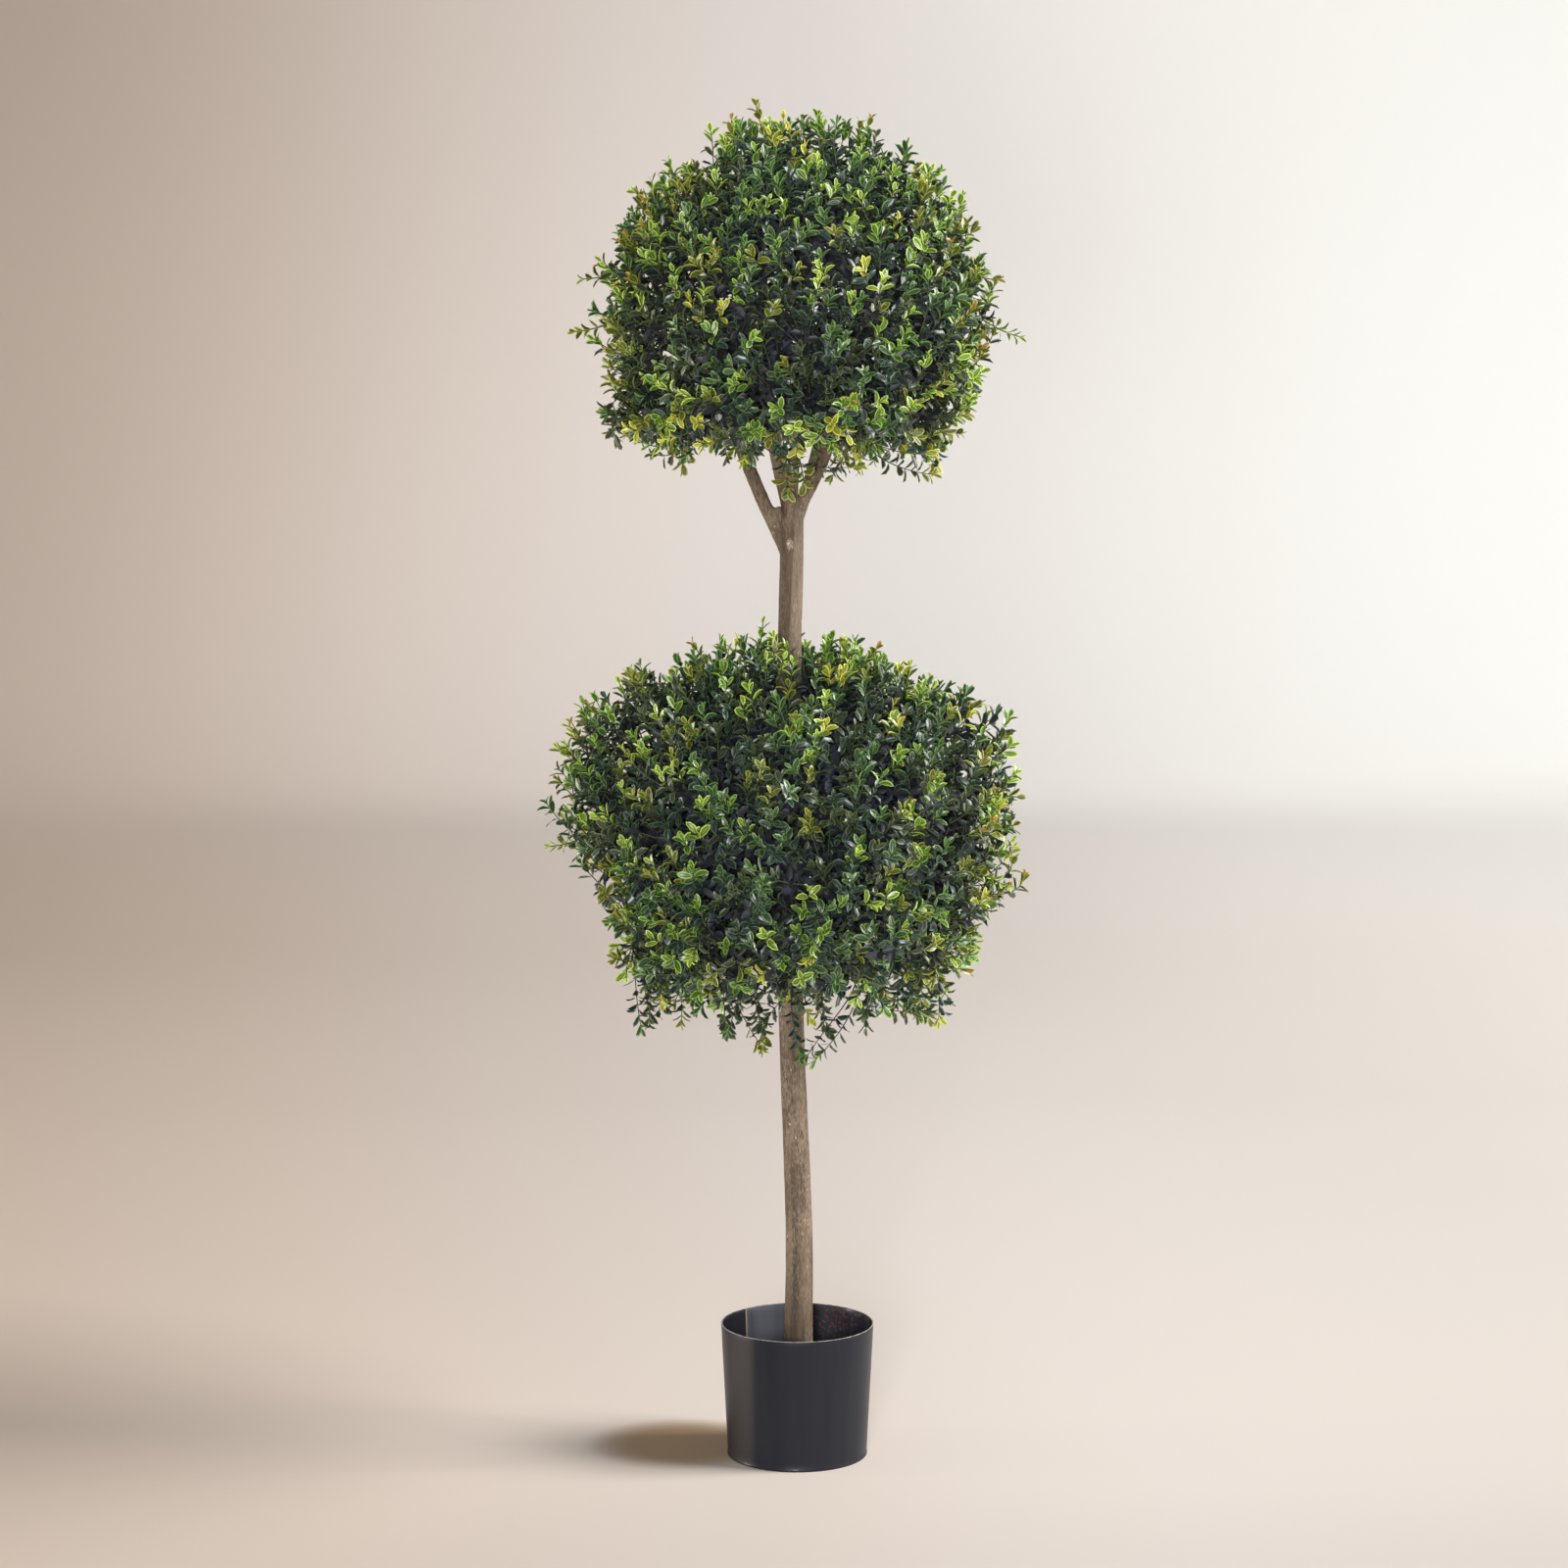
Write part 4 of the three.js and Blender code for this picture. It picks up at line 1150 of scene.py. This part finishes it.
def shapeLeaves(leaves, shares, rim):
    # A corner lies at ahead * sin(curl * u) / curl, sinks by (1 - cos(curl * u)) / curl away from the upper
    # face, stands v half widths to the side, and rises by cup * |v| half widths.
    corners, edges, fan, fanFinish = leafTemplate(shares, rim)
    length, width = leaves["length"][:, None], leaves["width"][:, None]
    u, v = corners[None, :, 0], corners[None, :, 1]
    if rim:
        inset = leafShape["rim"]
        innerU = 0.5 + (u - 0.5) * (1 - 2 * inset / length)
        innerV = v * (1 - 2 * inset / width)
        hubs = leafShape["rib"] / width
        u = np.concatenate([np.broadcast_to(u, innerU.shape), innerU, np.full((len(length), 2), 0.5)], axis=1)
        v = np.concatenate([np.broadcast_to(v, innerV.shape), innerV, hubs, -hubs], axis=1)
    curl = leaves["curl"][:, None]
    curl = np.where(np.abs(curl) < leafShape["leastCurl"], leafShape["leastCurl"], curl)
    forward = length * np.sin(curl * u) / curl
    sink = length * (1 - np.cos(curl * u)) / curl
    side = v * width / 2
    rise = leaves["cup"][:, None] * np.abs(side) - sink
    flank = np.cross(leaves["upper"], leaves["ahead"])
    points = (
        leaves["place"][:, None] + forward[..., None] * leaves["ahead"][:, None]
        + side[..., None] * flank[:, None] + rise[..., None] * leaves["upper"][:, None]
    )
    first = np.arange(len(points))[:, None, None] * points.shape[1]
    sets = [(fan[None] + first).reshape(-1, 3)]
    finishes = [np.tile(fanFinish, len(points))]
    if rim:
        sets.append((edges[None] + first).reshape(-1, 4))
        finishes.append(np.ones(len(sets[1]), int))
    return points.reshape(-1, 3), sets, finishes


def pick(leaves, chosen):
    return {name: values[chosen] for name, values in leaves.items()}


def joined(parts):
    return {name: np.concatenate([part[name] for part in parts]) for name in parts[0]}


def woodLines(name):
    # The stem's stretch inside the lower ball, or the limbs' stretches inside the upper one.
    if name == "lower":
        line = pathThrough(stem["path"], growth["linePoints"][0])
        low, high = growth["stemInside"]
        return line[(line[:, 2] > low) & (line[:, 2] < high)][None]
    lines = np.stack([pathThrough(limb["path"], growth["linePoints"][1]) for limb in limbs.values()])
    return lines[:, growth["limbsFrom"]:]


def clearOfWood(leaves):
    # Leaves whose middle comes closer to the stem or a limb than half their length and a little are left off.
    middles = leaves["place"] + leaves["ahead"] * leaves["length"][:, None] / 2
    room = np.full(len(middles), np.inf)
    ofStem, ofLimb = growth["woodRadii"]
    for corners, radius in [(stem["path"], ofStem), *[(limb["path"], ofLimb) for limb in limbs.values()]]:
        line = pathThrough(corners, growth["linePoints"][0])
        apart = np.linalg.norm(middles[:, None] - line[None], axis=-1).min(axis=1)
        room = np.minimum(room, apart - radius)
    return pick(leaves, room > growth["clearOfWood"] + leaves["length"] / 2)


def dealFrom(shares, count, random):
    numbers = [kindNames.index(kind) for kind in shares]
    return random.choice(numbers, count, p=list(shares.values()))


def putLeaves(name, leaves, inner, finishes, innerFinishes):
    for index, kind in enumerate(kindNames):
        corners = leafShape["litCorners" if leafKinds[kind]["share"] > 0 else "darkCorners"]
        points, sets, faceFinish = shapeLeaves(pick(leaves, leaves["kind"] == index), corners, True)
        piece = putMesh(f"leaves_{name}_{kind}", points, sets, finishes[kind], faceFinish)
        addPiece(piece, "foliage", "foliage_" + name)
    points, sets, faceFinish = shapeLeaves(inner, leafShape["innerCorners"], False)
    # Painted light: inner leaves deep in the ball get the paler finish.
    deep = shareOfReach(balls[name], inner["place"]) < deepFrom
    faceFinish = [np.repeat(deep, len(faceFinish[0]) // len(deep))]
    piece = putMesh(f"leaves_{name}_inner", points, sets, innerFinishes, faceFinish)
    addPiece(piece, "foliage", "foliage_" + name)


def putWoods(name, grown, finishes):  # grown holds the paths of each kind of wood
    for label, paths in grown.items():
        wood, rings = woods[label], paths.shape[1]
        radii = np.broadcast_to(np.linspace(*wood["radii"], rings), paths.shape[:2])
        points, quads, caps = tubes(paths, radii, wood["sides"])
        ringOf = np.tile(np.repeat(np.arange(rings - 1), wood["sides"]), len(paths))
        faceFinish = [(ringOf >= rings // 2) & wood["young"], np.zeros(len(caps))]
        piece = putMesh(f"{label}_{name}", points, [quads, caps], finishes, faceFinish)
        addPiece(piece, wood["slot"], "foliage_" + name)


def makeBall(name, finishes, twigFinishes, innerFinishes):
    ball = balls[name]
    random = np.random.default_rng(ball["seed"])
    ends, outward = limbEnds(ball, ball["boughs"], growth["boughReach"], random)
    boughs = growOn(woodLines(name), ends, outward, "boughs")
    ends, outward = limbEnds(ball, ball["branches"], growth["branchReach"], random)
    branches = growOn(boughs, ends, outward, "branches")
    tips, outward, reach = sprigTips(ball, random)
    kinds = dealKinds(ball, tips, reach, random)
    twigs = growOn(branches, tips, outward, "twigs")
    tips, outward = innerTips(ball, random)
    innerTwigs = growOn(branches, tips, outward, "innerTwigs")
    tips = np.array(ball["strays"])
    outward = strayed(tips - ball["middle"], growth["strayLean"], random)
    strayTwigs = growOn(branches, tips, outward, "strayTwigs")
    strayKinds = dealFrom(growth["strayKinds"], len(tips), random)
    tips, outward = tressTips(ball, random)
    tresses = growOn(branches, tips, outward, "tresses")
    tressKinds = dealFrom(growth["tressKinds"], len(tips), random)
    grown = [
        leavesOn(twigs, kinds, habits["outer"], random),
        leavesOn(strayTwigs, strayKinds, habits["stray"], random),
        leavesOn(tresses, tressKinds, habits["tress"], random),
    ]
    if "forkSprigs" in ball:
        tips = np.array(ball["forkSprigs"])
        outward = strayed(tips * (0.6, 1, 0) + (0, 0, -0.06), growth["forkLean"], random)
        forkTwigs = growOn(branches, tips, outward, "forkTwigs")
        forkKinds = np.full(len(tips), kindNames.index("olive"))
        grown.append(leavesOn(forkTwigs, forkKinds, habits["round"], random))
        strayTwigs = np.concatenate([strayTwigs, forkTwigs])
    leaves = clearOfWood(joined(grown))
    inner = clearOfWood(leavesOn(innerTwigs, np.zeros(len(innerTwigs), int), habits["inner"], random))
    inner = joined([inner, pick(leaves, leaves["kind"] == plainKind)])
    putLeaves(name, leaves, inner, finishes, innerFinishes)
    putWoods(name, {
        "boughs": boughs,
        "branches": branches,
        "twigs": twigs,
        "strayTwigs": strayTwigs,
        "innerTwigs": innerTwigs,
        "tresses": tresses,
    }, twigFinishes)
    print(name, "ball:", len(twigs), "sprigs and", len(leaves["kind"]) + len(inner["kind"]), "leaves")


def makeFoliage():
    finishes = {}
    for name, kind in leafKinds.items():
        blade = Finish("leaf_" + name, kind["blade"], 0.34, **{"Specular IOR Level": 0.8})
        rim = Finish("leafRim_" + name, kind["rim"], 0.4, **{"Specular IOR Level": 0.8})
        finishes[name] = [blade, rim]
    twigFinishes = [
        Finish("oldTwig", twigColours["old"], 0.8),
        Finish("youngTwig", twigColours["young"], 0.6),
    ]
    innerFinishes = [Finish("leafInner_" + name, tone, 0.5) for name, tone in innerLeaves.items()]
    for name in balls:
        makeBall(name, finishes, twigFinishes, innerFinishes)


# Floor that bends up all round, far outside the part

# Each gives an axis and two places along it, in metres. Up to the first it counts 0, from the second on 1.
floorSpans = {
    "away": ("Y", -0.5, 2.2),
    "far": ("Y", 1.5, 3.2),
    "wall": ("Y", 4.3, 4.9),
    "behindEdge": ("Y", -0.5, 0.05),
    "behindPatch": ("Y", 1.2, 3.4),
    "behindWarmth": ("Y", 3.0, 5.5),
    "aside": ("-X", 0.4, 2.0),
    "highLeft": ("-X", 0.2, 2.2),
    "right": ("X", -0.9, 0.1),
    "rightOfPatch": ("X", 0.1, 1.3),
    "rightOfWarmth": ("X", -1.2, 0.1),
    "topRight": ("X", -0.5, 0.9),
    "high": ("Z", 0.1, 1.1),
    "top": ("Z", 0.3, 2.0),
    "wallFoot": ("Z", 0.25, 1.1),
}


def floorFinish():
    finish = Finish("paleFloor", studio["floorPale"], 0.8)
    spans = {}
    for name, (axis, low, high) in floorSpans.items():
        place = finish.axis(axis[-1])
        spans[name] = (place * -1 if axis[0] == "-" else place).over(low, high)
    near = 1 - spans["away"]
    # Painted light and shade: dark at the left, pale at the right, as if lit from the right.
    share = finish.axis("X").over(-studio["floorSpread"], studio["floorSpread"]) * 2
    left = share * (1 - near * studio["nearEven"][0])
    right = (share - 1) * (1 - near * studio["nearEven"][1])
    ground = finish.mix(left, studio["floorDark"], studio["floorMiddle"])
    ground = finish.mix(right, ground, studio["floorPale"])
    warm = (1 - spans["rightOfWarmth"] * studio["warmRight"]) * (1 - spans["behindWarmth"])
    ground = finish.mix(warm * studio["warmShare"], ground, studio["warmth"])
    # Painted shadow: the floor is darkened and warmed in a spot left of the pot, where its shadow falls.
    x = (finish.axis("X") - studio["paintedShadowMiddle"][0]) * studio["paintedShadowTight"][0]
    y = (finish.axis("Y") - studio["paintedShadowMiddle"][1]) * studio["paintedShadowTight"][1]
    shade = (1 - x * x - y * y).over(0, 0.8)
    ground = finish.mix(shade * studio["paintedShadowShare"], ground, studio["paintedShadowTint"])
    # Painted shade: the floor and wall are darkened where less light falls on them.
    far = spans["far"] - spans["wall"] * (1 - spans["aside"] * (1 - spans["wallFoot"]))
    dim = near * spans["right"] * studio["dimNear"]
    dim = dim + (1 - spans["behindEdge"]) * studio["dimEdge"]
    dim = dim + far * (studio["dimFar"] + spans["aside"] * studio["dimFarLeft"])
    dim = dim + spans["highLeft"] * spans["high"] * studio["dimHigh"]
    dim = dim + (1 - spans["behindPatch"]) * spans["rightOfPatch"] * studio["dimRight"]
    dim = dim + spans["top"] * (1 - spans["topRight"] * studio["dimTopRight"]) * studio["dimTop"]
    ground = finish.mix(dim, ground, (0, 0, 0))
    finish.give(finish.shader, {"Base Color": ground, "Roughness": 0.8 + finish.noise(1.5, 2) * 0.1})
    return finish


def makeFloor():
    # The profile is a flat floor and a quarter circle, carried round the origin.
    bend, radius = studio["wallBend"], studio["floorRadius"]
    arc = np.linspace(0, np.pi / 2, 17)
    away = np.concatenate([np.linspace(0.05, radius, 12)[:-1], radius + bend * np.sin(arc)])
    z = np.concatenate([np.zeros(len(away) - len(arc)), bend * (1 - np.cos(arc))])
    turn = np.linspace(0, 2 * np.pi, studio["floorAround"], endpoint=False)
    grid = roundAxis(away[:, None], z[:, None], turn)
    corner = np.arange(grid.size // 3).reshape(grid.shape[:2])
    after = np.roll(corner, -1, axis=1)
    quads = np.stack([corner[:-1], corner[1:], after[1:], after[:-1]], axis=-1).reshape(-1, 4)
    points = np.concatenate([grid.reshape(-1, 3), [[0, 0, 0]]])
    cap = np.stack([np.full(len(turn), corner.size), corner[0], after[0]], axis=-1)
    putMesh("studio_floor", points, [quads, cap], [floorFinish()])


makeCamera()
makeLights()
makeFloor()
print("studio ready")
makePot()
makeFilling()
makeBark()
makeFoliage()
